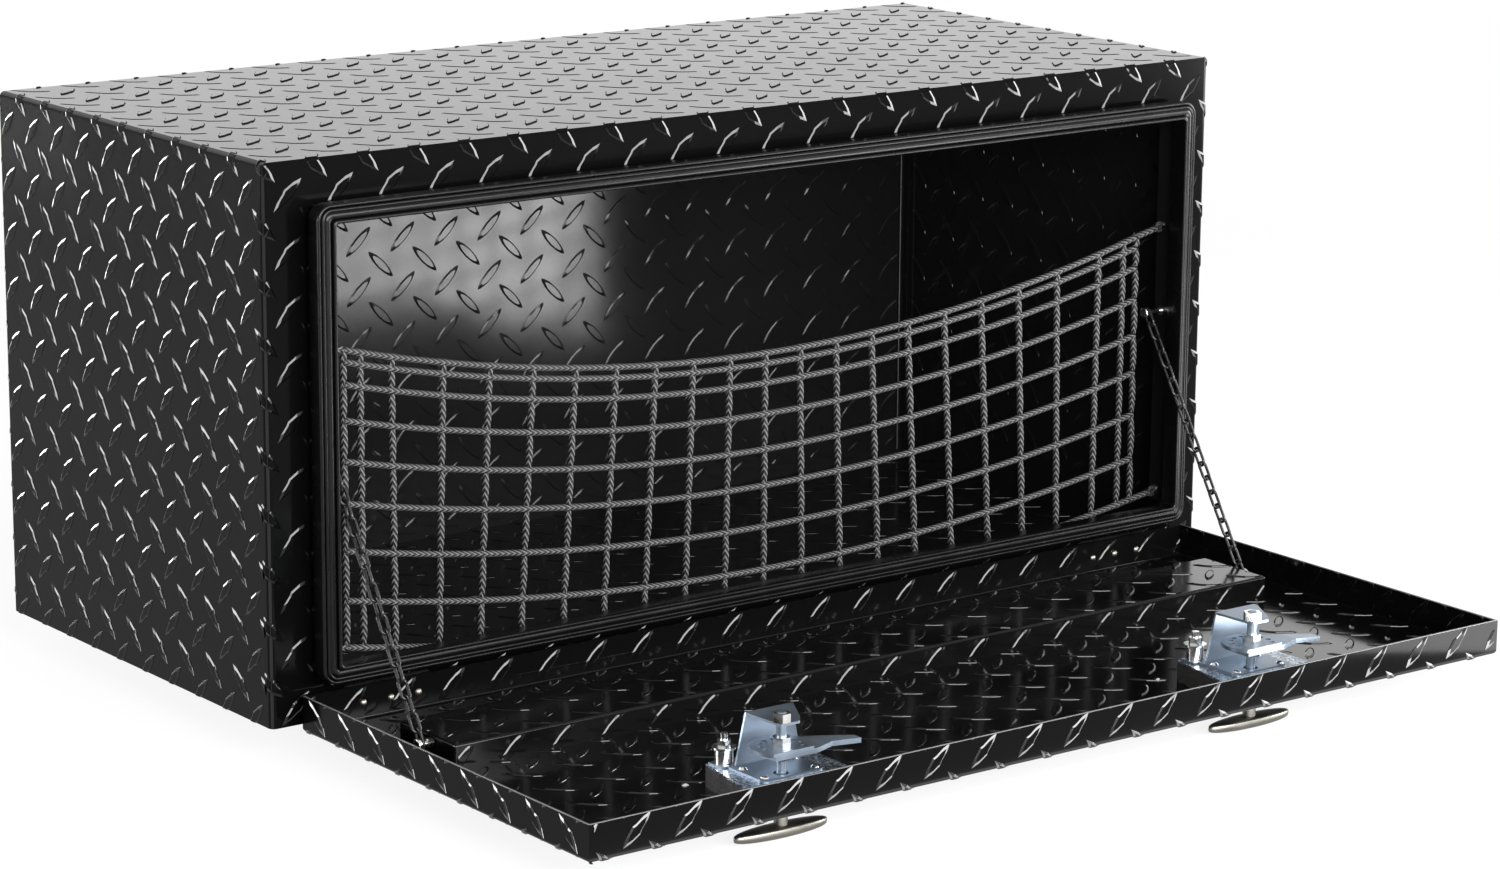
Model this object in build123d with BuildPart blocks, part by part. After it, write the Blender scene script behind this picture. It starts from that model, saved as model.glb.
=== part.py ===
"""Underbody truck tool box: black tread-plate box with a drop-down door, in millimetres.

The origin is the middle of the top face, which is bolted up under the truck bed.
+X runs along the front to the right, +Y to the back and +Z up. The door lies open.
"""

from build123d import *
from math import atan2, degrees, hypot
import os

os.makedirs("parts", exist_ok=True)

# Body of the box
width = 990.6
depth = 431.8
height = 457.2
sheet = 2.0
bend_radius = 5.0
front_return = 8.0
fit_gap = 0.1
inner_lip = 16.0

# Collar round the opening and the rubber seal on its edge
seal_side_margin = 35.0
seal_base_margin = 35.0
seal_top_margin = 33.8
seal_corner_radius = 13.0
seal_least_radius = 3.5
seal_width = 15.5
seal_front = 26.5
seal_back = 9.0
seal_lip_height = 1.5
seal_lip_width = 4.0
seal_leg = 3.2
seal_gap = 0.3
collar_reach = 19.0
jamb_depth = 16.0

# Door, lying open
door_side_margin = 23.8
door_length = 399.0
door_back_gap = 8.0
door_flange = 30.0
door_top = 26.0
door_shut_gap = 1.6
door_bend_radius = 4.0

# Stiffener tray inside the door
stiffener_end_margin = 65.0
stiffener_back = 86.0
stiffener_width = 80.0
stiffener_height = 20.0
stiffener_sheet = 1.6
stiffener_corner_radius = 2.5

# Butt hinges
hinge_centre_margin = 106.0
hinge_width = 76.0
hinge_leaf = 1.4
hinge_leaf_bottom = 3.0
knuckle_radius = 3.3
knuckle_count = 5
knuckle_gap = 0.3
leaf_notch_gap = 0.4
pin_radius = 1.6
pin_head_radius = 2.6
pin_head = 1.2
running_gap = 0.05
rivet_pitch = 26.2
rivet_height = 11.0
rivet_radius = 2.0
rivet_head_radius = 3.1
rivet_head = 1.7
rivet_tail_radius = 2.8
rivet_tail = 0.8

# Latches
latch_from_left = 227.5
latch_from_right = 276.1
latch_from_back = 362.0
latch_plate_height = 18.5
latch_plate = 1.6
latch_box_sheet = 1.5
plate_left = 42.0
plate_right = 57.0
plate_front = 10.5
plate_back = 56.0
plate_right_back = 34.0
plate_back_left = 30.0
plate_back_right = 42.0
bracket_sheet = 2.0
bracket_height = 42.5
web_back = 36.0
web_foot_left = 18.0
web_foot_right = 45.0
web_top_left = 8.0
web_top_right = 36.0
tip_front = 6.0
tip_left = 5.0
tip_right = 13.0
tip_shoulder = 20.0
tip_shoulder_back = 3.0
tip_corner_radius = 2.0
foot_left = 24.0
foot_right = 36.0
foot_front = 9.0
foot_radius = 6.0
spindle_radius = 4.0
spindle_loose = 2.0
spindle_top = 50.5
spindle_socket = 10.0
cam_height = 21.0
cam_plate = 3.0
cam_radius = 25.0
cam_front = 16.0
cam_hole_radius = 2.3
cam_hole_circle = 17.0
cam_hole_count = 9
cam_hole_sweep = 250.0
cam_hole_start = -35.0
tongue_plate = 4.0
tongue_reach = 74.0
tongue_root = 16.0
tongue_half_width = 14.0
tongue_back_width = 18.0
tongue_shoulder = 24.0
tongue_waist = 44.0
tongue_waist_half = 7.0
tongue_tip_half = 4.5
tongue_drop = 3.4
nut_across = 13.0
nut_height = 7.0
jam_nut_height = 4.0
nut_seat_gap = 0.3
screw_radius = 2.0
screw_head_radius = 3.4
screw_head = 2.0
screw_tail = 1.5
screw_tail_radius = 3.2
screw_left = 18.0
screw_right = 30.0
screw_front = 3.0
screw_back = 24.0
post_left = 20.0
post_back = 46.0
post_radius = 3.0
post_tail = 4.0
post_end = 5.0
post_square = 17.0
post_washer_radius = 9.5
post_washer = 1.6
post_sleeve_radius = 7.5
post_sleeve = 12.0
post_nut_across = 10.0
post_nut_height = 5.5
skin_rivet_left = 40.0
skin_rivet_back = 69.0

# Outside T-handles
handle_length = 91.0
handle_width = 15.0
handle_end_width = 10.0
handle_end_bulge = 3.0
handle_thickness = 9.0
handle_drop = 19.0
handle_edge_radius = 3.4
handle_stem_radius = 5.5
handle_stem_rise = 6.0
handle_hole_gap = 0.5
seat_radius = 12.0
seat_height = 2.5

# Door chains
chain_side_margin = 58.8
chain_wire = 2.6
chain_inner_width = 4.8
chain_slack = 0.3
chain_link_count = 19
upper_link_count = 12
chain_top_back = 7.6
chain_top_height = 227.0
chain_foot_front = 128.0
chain_foot_height = 10.0
stud_radius = 2.0
stud_head_radius = 5.0
stud_head = 3.0
stud_head_edge = 1.2
stud_link_gap = 0.7
stud_base_radius = 4.5
stud_base = 3.0
stud_tail = 1.5

# Cargo net, hung in the opening
net_cord = 6.4
net_back = 7.0
net_end_gap = 27.6
net_end_height = 299.0
net_sag = 55.0
net_low_end_height = 54.0
net_low_sag = 36.0
net_column_top_shares = (0, 0.089, 0.181, 0.274, 0.37, 0.467, 0.567, 0.669, 0.776, 0.893, 0.963, 1)
net_column_low_shares = (0, 0.1, 0.201, 0.302, 0.402, 0.5, 0.6, 0.695, 0.79, 0.89, 0.962, 1)
net_row_shares = (0, 0.04, 0.115, 0.235, 0.372, 0.513, 0.673, 0.841, 1)
hook_inset = 7.2
hook_top_height = 305.0
hook_low_height = 58.0
hook_radius = 1.8
hook_back = 13.0
hook_pin_length = 12.0
hook_base_radius = 4.5
hook_base = 1.5
hook_gap = 0.3
eye_radius = 5.2

# One length that every cut may run past its face
overrun = 1.0

# Places worked out from the sizes above
half_width = width / 2
front = -depth / 2
back = depth / 2
base = -height
seal_half_width = half_width - seal_side_margin
seal_top = -seal_top_margin
seal_bottom = base + seal_base_margin
seal_height = seal_top - seal_bottom
seal_centre = (seal_top + seal_bottom) / 2
collar_inset = seal_leg + seal_gap
collar_face = seal_half_width - collar_inset - sheet
jamb_back = front + sheet + jamb_depth
jamb_end = seal_corner_radius
door_half = half_width - door_side_margin
door_back = front - door_back_gap
door_front = door_back - door_length
door_rim = base + door_top
door_skin = door_rim - door_flange
door_floor = door_skin + sheet
hinge_y = front - door_back_gap / 2
hinge_z = door_rim - door_back_gap / 2 + door_shut_gap
hinge_x = half_width - hinge_centre_margin
stiffener_half = half_width - stiffener_end_margin
stiffener_y = front - stiffener_back - stiffener_width / 2
latch_xs = {"left": latch_from_left - half_width, "right": half_width - latch_from_right}
latch_y = door_back - latch_from_back
plate_top = door_floor + latch_plate_height
bracket_top = plate_top + bracket_height
tongue_bottom = plate_top + cam_height - tongue_plate
cam_bottom = plate_top + cam_height
chain_x = half_width - chain_side_margin
chain_top = Vector(0, front + chain_top_back, base + chain_top_height)
chain_foot = Vector(0, front - chain_foot_front, base + chain_foot_height)
chain_span = (chain_foot - chain_top).length
chain_down = (chain_foot - chain_top).normalized()
chain_start = -(stud_radius + chain_slack)
link_inner = (chain_span - 2 * chain_start + (chain_link_count - 1) * chain_slack) / chain_link_count
link_pitch = link_inner - chain_slack
net_y = front + net_back
hook_x = collar_face - hook_inset
net_half_width = hook_x - net_end_gap
sides = {"left": -1, "right": 1}


def block(x, y, z, mode=Mode.ADD):
    """Box between the low and high ends given for each axis."""
    with Locations(((x[0] + x[1]) / 2, (y[0] + y[1]) / 2, (z[0] + z[1]) / 2)):
        Box(abs(x[1] - x[0]), abs(y[1] - y[0]), abs(z[1] - z[0]), mode=mode)


def rod_x(x, y, z, radius, length, mode=Mode.ADD):
    """Round bar along X, centred on the point given."""
    with Locations(Location((x, y, z), (0, 90, 0))):
        Cylinder(radius, length, mode=mode)


def rod_y(x, y_ends, z, radius, mode=Mode.ADD):
    """Round bar along Y between two ends."""
    with Locations(Location((x, (y_ends[0] + y_ends[1]) / 2, z), (90, 0, 0))):
        Cylinder(radius, abs(y_ends[1] - y_ends[0]), mode=mode)


def rod_z(x, y, z_ends, radius, mode=Mode.ADD):
    """Upright round bar between two ends."""
    with Locations((x, y, (z_ends[0] + z_ends[1]) / 2)):
        Cylinder(radius, abs(z_ends[1] - z_ends[0]), mode=mode)


def save(piece, name):
    """Label a finished piece and write its file."""
    piece.part.label = name
    export_step(piece.part, f"parts/{name}.step")


# Casing: the outside of the box and the room inside it, cut up below into its sheets
def casing_block(inset, past):
    """The casing's body drawn in by inset, its open base and back carried past."""
    radius = bend_radius - inset
    with BuildSketch(Plane.XZ.offset(-front)) as end_view:
        with Locations((0, (base - past - inset) / 2)):
            Rectangle(width - 2 * inset, height - inset + past)
        fillet(end_view.vertices().group_by(Axis.Y)[-1], radius=radius)
    extrude(end_view.sketch, amount=-(depth + past))
    with BuildSketch(Plane.XY.offset(base - past)) as plan:
        with Locations((0, (inset + past) / 2)):
            Rectangle(width - 2 * inset, depth - inset + past)
        fillet(plan.vertices().group_by(Axis.Y)[0], radius=radius)
    extrude(plan.sketch, amount=height + past, mode=Mode.INTERSECT)


with BuildPart() as casing:
    casing_block(0, 0)

with BuildPart() as inside:
    casing_block(sheet, overrun)

full_x = (-half_width, half_width)
return_back = front + front_return

# Body wrap: top and both ends in one sheet, its top lapping over the front frame
with BuildPart() as body_wrap:
    add(casing.part)
    add(inside.part, mode=Mode.SUBTRACT)
    block(
        (-half_width - overrun, half_width + overrun),
        (front - overrun, return_back + fit_gap),
        (base - overrun, -sheet - fit_gap),
        mode=Mode.SUBTRACT,
    )
save(body_wrap, "body_wrap")


# Front frame: flat face with side returns, a collar round the opening and a jamb each side
def seal_outline(inset, mode=Mode.ADD):
    """Rounded rectangle that lies a given distance inside the seal's outer edge."""
    radius = max(seal_corner_radius - inset, seal_least_radius)
    RectangleRounded(2 * (seal_half_width - inset), seal_height - 2 * inset, radius, mode=mode)


def seal_ring(outer, inner, y_front, y_back, mode=Mode.ADD):
    """Frame between two insets of the seal's outline, from y_front to y_back."""
    with BuildSketch(Plane.XZ.offset(-y_back)) as ring:
        with Locations((0, seal_centre)):
            seal_outline(outer)
            seal_outline(inner, mode=Mode.SUBTRACT)
    extrude(ring.sketch, amount=y_back - y_front, mode=mode)


with BuildPart() as front_frame:
    add(casing.part)
    add(inside.part, mode=Mode.SUBTRACT)
    block(full_x, (front, return_back), (base, -sheet - 2 * fit_gap), mode=Mode.INTERSECT)
    seal_ring(collar_inset, collar_inset + sheet, front - collar_reach, front + sheet)
    with BuildSketch(Plane.XZ.offset(-front - sheet - overrun)):
        with Locations((0, seal_centre)):
            seal_outline(collar_inset + sheet)
    extrude(amount=collar_reach + sheet + 2 * overrun, both=True, mode=Mode.SUBTRACT)
    for side in sides.values():
        block(
            (side * collar_face, side * (collar_face + sheet)),
            (front, jamb_back),
            (seal_bottom + jamb_end, seal_top - jamb_end),
        )
        rod_x(
            side * collar_face, chain_top.Y, chain_top.Z, stud_radius + running_gap, 4 * sheet,
            mode=Mode.SUBTRACT,
        )
        for z in (hook_top_height, hook_low_height):
            rod_x(
                side * collar_face, front + hook_back, base + z, hook_radius + running_gap, 4 * sheet,
                mode=Mode.SUBTRACT,
            )
        for place in (-rivet_pitch, 0, rivet_pitch):
            rod_y(
                side * hinge_x + place, (front - overrun, front + sheet + overrun), base + rivet_height,
                rivet_radius + running_gap, mode=Mode.SUBTRACT,
            )
save(front_frame, "front_frame")

# Back panel: flat sheet inside the wrap with forward lips at the top and ends
wall_x = half_width - sheet - fit_gap
wall_top = -sheet - fit_gap
corner_radius = bend_radius - sheet
with BuildPart() as back_panel:
    with BuildSketch(Plane.XZ.offset(-back)):
        with Locations((0, (base + wall_top) / 2)):
            Rectangle(2 * wall_x, wall_top - base)
        fillet(vertices().group_by(Axis.Y)[-1], radius=corner_radius)
    extrude(amount=sheet)
    with Locations((0, back - sheet - inner_lip / 2, -sheet - fit_gap - sheet / 2)):
        Box(2 * (wall_x - bend_radius), inner_lip, sheet)
    for side in sides.values():
        block(
            (side * (wall_x - sheet), side * wall_x),
            (back - sheet - inner_lip, back - sheet),
            (base + inner_lip + 2 * sheet, -bend_radius - sheet),
        )
save(back_panel, "back_panel")

# Bottom panel: floor sheet with lips turned up inside both ends and the back
floor_y = (front + sheet + fit_gap, back - sheet - fit_gap)
with BuildPart() as bottom_panel:
    with BuildSketch(Plane.XY.offset(base)):
        with Locations((0, (floor_y[0] + floor_y[1]) / 2)):
            Rectangle(2 * wall_x, floor_y[1] - floor_y[0])
        fillet(vertices().group_by(Axis.Y)[0], radius=corner_radius)
    extrude(amount=sheet)
    block((-wall_x, wall_x), (floor_y[1] - sheet, floor_y[1]), (base, base + inner_lip))
    for side in sides.values():
        block(
            (side * (wall_x - sheet), side * wall_x),
            (return_back + fit_gap, floor_y[1]),
            (base, base + inner_lip),
        )
save(bottom_panel, "bottom_panel")

# Rubber seal: a wide bead with an inner lip, gripping the collar's edge
with BuildPart() as door_seal:
    seal_ring(0, seal_width, front - seal_front, front - seal_back)
    seal_ring(
        seal_width - seal_lip_width, seal_width,
        front - seal_front - seal_lip_height, front - seal_front,
    )
    seal_ring(
        collar_inset - seal_gap, collar_inset + sheet + seal_gap,
        front - collar_reach - seal_gap, front - seal_back + overrun,
        mode=Mode.SUBTRACT,
    )
save(door_seal, "door_seal")


# Door: a shallow tray with four upturned flanges
def tray_block(inset, past):
    """The door tray's body drawn in by inset, its open top carried past."""
    radius = door_bend_radius - inset
    low = door_skin + inset
    high = door_rim + past
    with BuildSketch(Plane.XZ.offset(-door_back)) as end_view:
        with Locations((0, (low + high) / 2)):
            Rectangle(2 * (door_half - inset), high - low)
        fillet(end_view.vertices().group_by(Axis.Y)[0], radius=radius)
    extrude(end_view.sketch, amount=door_length)
    with BuildSketch(Plane.YZ.offset(-door_half)) as side_view:
        with Locations(((door_back + door_front) / 2, (low + high) / 2)):
            Rectangle(door_length - 2 * inset, high - low)
        fillet(side_view.vertices().group_by(Axis.Y)[0], radius=radius)
    extrude(side_view.sketch, amount=2 * door_half, mode=Mode.INTERSECT)


with BuildPart() as door_room:
    tray_block(sheet, overrun)

with BuildPart() as door_panel:
    tray_block(0, 0)
    add(door_room.part, mode=Mode.SUBTRACT)
    for side in sides.values():
        for place in (-rivet_pitch, 0, rivet_pitch):
            rod_y(
                side * hinge_x + place, (door_back - sheet - overrun, door_back + overrun),
                base + rivet_height, rivet_radius + running_gap, mode=Mode.SUBTRACT,
            )
    for x in latch_xs.values():
        rod_z(
            x, latch_y, (door_skin - overrun, door_floor + overrun),
            handle_stem_radius + handle_hole_gap, mode=Mode.SUBTRACT,
        )
        rod_z(
            x - skin_rivet_left, latch_y + skin_rivet_back, (door_skin - overrun, door_floor + overrun),
            rivet_radius + running_gap, mode=Mode.SUBTRACT,
        )
save(door_panel, "door_panel")

# Stiffener: an upside-down tray on the door's floor
with BuildPart() as door_stiffener:
    with Locations((0, stiffener_y, door_floor + stiffener_height / 2)):
        Box(2 * stiffener_half, stiffener_width, stiffener_height)
    fillet(edges().filter_by(Axis.Z), radius=stiffener_corner_radius)
    fillet(faces().sort_by(Axis.Z)[-1].edges(), radius=stiffener_corner_radius)
    with Locations((0, stiffener_y, door_floor + (stiffener_height - stiffener_sheet) / 2)):
        Box(
            2 * (stiffener_half - stiffener_sheet), stiffener_width - 2 * stiffener_sheet,
            stiffener_height - stiffener_sheet, mode=Mode.SUBTRACT,
        )
    for side in sides.values():
        rod_x(
            side * stiffener_half, chain_foot.Y, chain_foot.Z, stud_radius + running_gap,
            4 * stiffener_sheet, mode=Mode.SUBTRACT,
        )
save(door_stiffener, "door_stiffener")

# Butt hinges: a leaf on the box, a leaf on the door and a pin through both
knuckle_pitch = (hinge_width + knuckle_gap) / knuckle_count
leaf_top = hinge_z - knuckle_radius - leaf_notch_gap


def hinge_half(centre, leaf_back, own):
    """One leaf with the knuckles that belong to it, its outer face at leaf_back."""
    leaf_y = (leaf_back - hinge_leaf, leaf_back)
    half = hinge_width / 2
    block((centre - half, centre + half), leaf_y, (base + hinge_leaf_bottom, leaf_top))
    for number in own:
        x = centre + (number - (knuckle_count - 1) / 2) * knuckle_pitch
        reach = (knuckle_pitch - knuckle_gap) / 2
        block((x - reach, x + reach), leaf_y, (leaf_top - sheet, hinge_z))
        rod_x(x, hinge_y, hinge_z, knuckle_radius, 2 * reach)
    rod_x(
        centre, hinge_y, hinge_z, pin_radius + running_gap, hinge_width + 2 * overrun,
        mode=Mode.SUBTRACT,
    )
    for place in (-rivet_pitch, 0, rivet_pitch):
        rod_y(
            centre + place, (leaf_y[0] - overrun, leaf_y[1] + overrun), base + rivet_height,
            rivet_radius + running_gap, mode=Mode.SUBTRACT,
        )


for name, side in sides.items():
    with BuildPart() as body_leaf:
        hinge_half(side * hinge_x, front, range(0, knuckle_count, 2))
    save(body_leaf, f"hinge_body_leaf_{name}")

    with BuildPart() as door_leaf:
        hinge_half(side * hinge_x, door_back + hinge_leaf, range(1, knuckle_count, 2))
    save(door_leaf, f"hinge_door_leaf_{name}")

    with BuildPart() as hinge_pin:
        rod_x(side * hinge_x, hinge_y, hinge_z, pin_radius, hinge_width + 2 * knuckle_gap)
        for end in (-1, 1):
            x = side * hinge_x + end * (hinge_width / 2 + knuckle_gap + pin_head / 2)
            rod_x(x, hinge_y, hinge_z, pin_head_radius, pin_head)
    save(hinge_pin, f"hinge_pin_{name}")


# Rivets and dome screws: a round head on its seat at zero, the shank below it
def dome_fastener(head_radius, head_height, shank_radius, grip, tail_radius, tail_height):
    """Domed head above zero, shank through the grip and a round tail below it."""
    with BuildSketch(Plane.XZ) as profile:
        with BuildLine():
            Polyline(
                (0, head_height), (0, -grip - tail_height), (tail_radius, -grip - tail_height),
                (tail_radius, -grip), (shank_radius, -grip), (shank_radius, 0), (head_radius, 0),
            )
            TangentArc((0, head_height), (head_radius, 0), tangent=(1, 0))
        make_face()
    revolve(profile.sketch, axis=Axis.Z)


with BuildPart() as door_rivet:
    dome_fastener(
        rivet_head_radius, rivet_head, rivet_radius, sheet + hinge_leaf,
        rivet_tail_radius, rivet_tail,
    )

with BuildPart() as skin_rivet:
    dome_fastener(rivet_head_radius, rivet_head, rivet_radius, sheet, rivet_tail_radius, rivet_tail)

rivet_xs = [side * hinge_x + place for side in sides.values() for place in (-rivet_pitch, 0, rivet_pitch)]

with BuildPart() as hinge_door_rivets:
    with Locations(*[Location((x, door_back - sheet, base + rivet_height), (90, 0, 0)) for x in rivet_xs]):
        add(door_rivet.part)
save(hinge_door_rivets, "hinge_door_rivets")

with BuildPart() as hinge_body_rivets:
    with Locations(*[Location((x, front - hinge_leaf, base + rivet_height), (90, 0, 0)) for x in rivet_xs]):
        add(door_rivet.part)
save(hinge_body_rivets, "hinge_body_rivets")

with BuildPart() as door_skin_rivets:
    with Locations(*[(x - skin_rivet_left, latch_y + skin_rivet_back, door_floor) for x in latch_xs.values()]):
        add(skin_rivet.part)
save(door_skin_rivets, "door_skin_rivets")


# Chain bolts: a round base on the wall, a plain neck for the end link and a domed head
def chain_bolt(reach, wall):
    """Bolt standing on its seat at zero, its head beginning at reach, its tail through the wall."""
    rod_z(0, 0, (-wall - stud_tail, reach + stud_head), stud_radius)
    rod_z(0, 0, (0, stud_base), stud_base_radius)
    rod_z(0, 0, (reach, reach + stud_head), stud_head_radius)
    fillet(faces().sort_by(Axis.Z)[-1].edges(), radius=stud_head_edge)


link_half = chain_wire / 2 + stud_link_gap
with BuildPart() as top_bolt:
    chain_bolt(collar_face - chain_x + link_half, sheet)

with BuildPart() as foot_bolt:
    chain_bolt(chain_x - stiffener_half + link_half, stiffener_sheet)

with BuildPart() as chain_top_bolts:
    with Locations(
        *[
            Location((side * collar_face, chain_top.Y, chain_top.Z), (0, -90 * side, 0))
            for side in sides.values()
        ]
    ):
        add(top_bolt.part)
save(chain_top_bolts, "chain_top_bolts")

with BuildPart() as chain_foot_bolts:
    with Locations(
        *[
            Location((side * stiffener_half, chain_foot.Y, chain_foot.Z), (0, 90 * side, 0))
            for side in sides.values()
        ]
    ):
        add(foot_bolt.part)
save(chain_foot_bolts, "chain_foot_bolts")

# Chain: long round-wire links, each a quarter turn from the next
link_bend = (chain_inner_width + chain_wire) / 2
link_low = chain_inner_width / 2
link_high = link_inner - chain_inner_width / 2

with BuildPart() as link:
    with BuildLine(Plane.XZ) as link_path:
        Line((link_bend, link_low), (link_bend, link_high))
        ThreePointArc((link_bend, link_high), (0, link_high + link_bend), (-link_bend, link_high))
        Line((-link_bend, link_high), (-link_bend, link_low))
        ThreePointArc((-link_bend, link_low), (0, link_low - link_bend), (link_bend, link_low))
    with BuildSketch(Plane(origin=(link_bend, 0, link_low), z_dir=(0, 0, 1))):
        Circle(chain_wire / 2)
    sweep(path=link_path.wires()[0])


def chain_piece(side, first, last):
    """Links from first up to last, counted down from the upper bolt."""
    top = Vector(side * chain_x, chain_top.Y, chain_top.Z)
    for number in range(first, last):
        start = top + chain_down * (chain_start + number * link_pitch)
        seat = Plane(origin=start, x_dir=(1, 0, 0), z_dir=chain_down).location
        if number % 2 == 0:
            seat = seat * Location((0, 0, 0), (0, 0, 90))
        with Locations(seat):
            add(link.part)


for name, side in sides.items():
    with BuildPart() as upper_chain:
        chain_piece(side, 0, upper_link_count)
    save(upper_chain, f"chain_{name}_upper")

    with BuildPart() as lower_chain:
        chain_piece(side, upper_link_count, chain_link_count)
    save(lower_chain, f"chain_{name}_lower")


# Latches: a box and plate on the door's floor, a bracket, and what turns with the handle
def plate_outline():
    """Outline of the latch's base, on the spindle's axis."""
    with BuildLine() as outline:
        Polyline(
            (-plate_left, -plate_front), (plate_right, -plate_front), (plate_right, plate_right_back),
            (plate_back_right, plate_back), (-plate_back_left, plate_back),
            close=True,
        )
    make_face(outline.edges())


def screw_places(x):
    """Centres of the four screws that hold the bracket's foot."""
    return [
        (x + dx, latch_y + dy, plate_top + bracket_sheet)
        for dx in (-screw_left, screw_right)
        for dy in (-screw_front, screw_back)
    ]


with BuildPart() as foot_screw:
    dome_fastener(
        screw_head_radius, screw_head, screw_radius, bracket_sheet + latch_plate,
        screw_tail_radius, screw_tail,
    )

for name, x in latch_xs.items():
    post_x = x - post_left
    post_y = latch_y + post_back

    with BuildPart() as latch_box:
        with BuildSketch(Plane(origin=(x, latch_y, door_floor))):
            plate_outline()
            offset(amount=-latch_box_sheet, kind=Kind.INTERSECTION, mode=Mode.SUBTRACT)
        extrude(amount=latch_plate_height - latch_plate)
    save(latch_box, f"latch_box_{name}")

    with BuildPart() as latch_base:
        with BuildSketch(Plane(origin=(x, latch_y, plate_top - latch_plate))):
            plate_outline()
            Circle(spindle_radius + spindle_loose, mode=Mode.SUBTRACT)
            with Locations((-post_left, post_back)):
                Circle(post_radius + running_gap, mode=Mode.SUBTRACT)
            with Locations(*[(px - x, py - latch_y) for px, py, pz in screw_places(x)]):
                Circle(screw_radius + running_gap, mode=Mode.SUBTRACT)
        extrude(amount=latch_plate)
    save(latch_base, f"latch_plate_{name}")

    with BuildPart() as bracket:
        with BuildSketch(Plane(origin=(x, latch_y, plate_top))):
            with BuildLine():
                Polyline(
                    (-foot_left, -foot_front), (foot_right, -foot_front),
                    (foot_right, web_back), (-foot_left, web_back),
                    close=True,
                )
            make_face()
            fillet(vertices().group_by(Axis.Y)[0], radius=foot_radius)
            Circle(spindle_radius + spindle_loose, mode=Mode.SUBTRACT)
            with Locations(*[(px - x, py - latch_y) for px, py, pz in screw_places(x)]):
                Circle(screw_radius + running_gap, mode=Mode.SUBTRACT)
        extrude(amount=bracket_sheet)
        with BuildSketch(Plane(origin=(x, latch_y + web_back, plate_top), x_dir=(1, 0, 0), z_dir=(0, -1, 0))):
            with BuildLine():
                Polyline(
                    (-web_foot_left, 0), (web_foot_right, 0),
                    (web_top_right, bracket_height), (-web_top_left, bracket_height),
                    close=True,
                )
            make_face()
        extrude(amount=bracket_sheet)
        with BuildSketch(Plane(origin=(x, latch_y, bracket_top - bracket_sheet))):
            with BuildLine():
                Polyline(
                    (-web_top_left, web_back), (web_top_right, web_back),
                    (web_top_right, web_back - 2 * bracket_sheet), (tip_shoulder, tip_shoulder_back),
                    (tip_right, -tip_front), (-tip_left, -tip_front),
                    close=True,
                )
            make_face()
            fillet(vertices().group_by(Axis.Y)[0], radius=tip_corner_radius)
            Circle(spindle_radius + running_gap, mode=Mode.SUBTRACT)
        extrude(amount=bracket_sheet)
    save(bracket, f"latch_bracket_{name}")

    with BuildPart() as stud:
        stack = 2 * post_washer + post_sleeve + post_nut_height + post_end
        rod_z(post_x, post_y, (plate_top - latch_plate - post_tail, plate_top + stack), post_radius)
    save(stud, f"latch_stud_{name}")

    with BuildPart() as seat_washer:
        rod_z(x, latch_y, (door_skin - seat_height, door_skin), seat_radius)
        fillet(faces().sort_by(Axis.Z)[0].edges(), radius=seat_height / 2)
        rod_z(
            x, latch_y, (door_skin - seat_height - overrun, door_skin + overrun),
            handle_stem_radius + handle_hole_gap, mode=Mode.SUBTRACT,
        )
    save(seat_washer, f"handle_washer_{name}")

    # What turns: T-handle, spindle, cam plate, tongue and nuts
    with BuildPart() as t_handle:
        handle_top = door_skin - handle_drop
        with BuildSketch(Plane(origin=(x, latch_y, handle_top - handle_thickness))):
            with BuildLine():
                reach = handle_length / 2 - handle_end_bulge
                half = handle_end_width / 2
                ThreePointArc((-reach, -half), (0, -handle_width / 2), (reach, -half))
                ThreePointArc((reach, -half), (handle_length / 2, 0), (reach, half))
                ThreePointArc((reach, half), (0, handle_width / 2), (-reach, half))
                ThreePointArc((-reach, half), (-handle_length / 2, 0), (-reach, -half))
            make_face()
        extrude(amount=handle_thickness)
        fillet(
            faces().sort_by(Axis.Z)[0].edges() + faces().sort_by(Axis.Z)[-1].edges(),
            radius=handle_edge_radius,
        )
        stem_top = door_floor + handle_stem_rise
        rod_z(x, latch_y, (handle_top - handle_thickness / 2, stem_top), handle_stem_radius)
        rod_z(
            x, latch_y, (stem_top - spindle_socket, stem_top + overrun),
            spindle_radius + running_gap, mode=Mode.SUBTRACT,
        )
    save(t_handle, f"t_handle_{name}")

    with BuildPart() as spindle:
        rod_z(x, latch_y, (stem_top - spindle_socket, plate_top + spindle_top), spindle_radius)
        chamfer(faces().sort_by(Axis.Z)[-1].edges(), length=spindle_radius / 5)
    save(spindle, f"latch_spindle_{name}")

    with BuildPart() as cam:
        with BuildSketch(Plane(origin=(x, latch_y, cam_bottom))):
            Circle(cam_radius)
            with Locations((0, -cam_front - cam_radius)):
                Rectangle(2 * cam_radius, 2 * cam_radius, mode=Mode.SUBTRACT)
            Circle(spindle_radius + running_gap, mode=Mode.SUBTRACT)
            with PolarLocations(
                cam_hole_circle, cam_hole_count, start_angle=cam_hole_start,
                angular_range=cam_hole_sweep,
            ):
                Circle(cam_hole_radius, mode=Mode.SUBTRACT)
        extrude(amount=cam_plate)
    save(cam, f"cam_plate_{name}")

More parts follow.
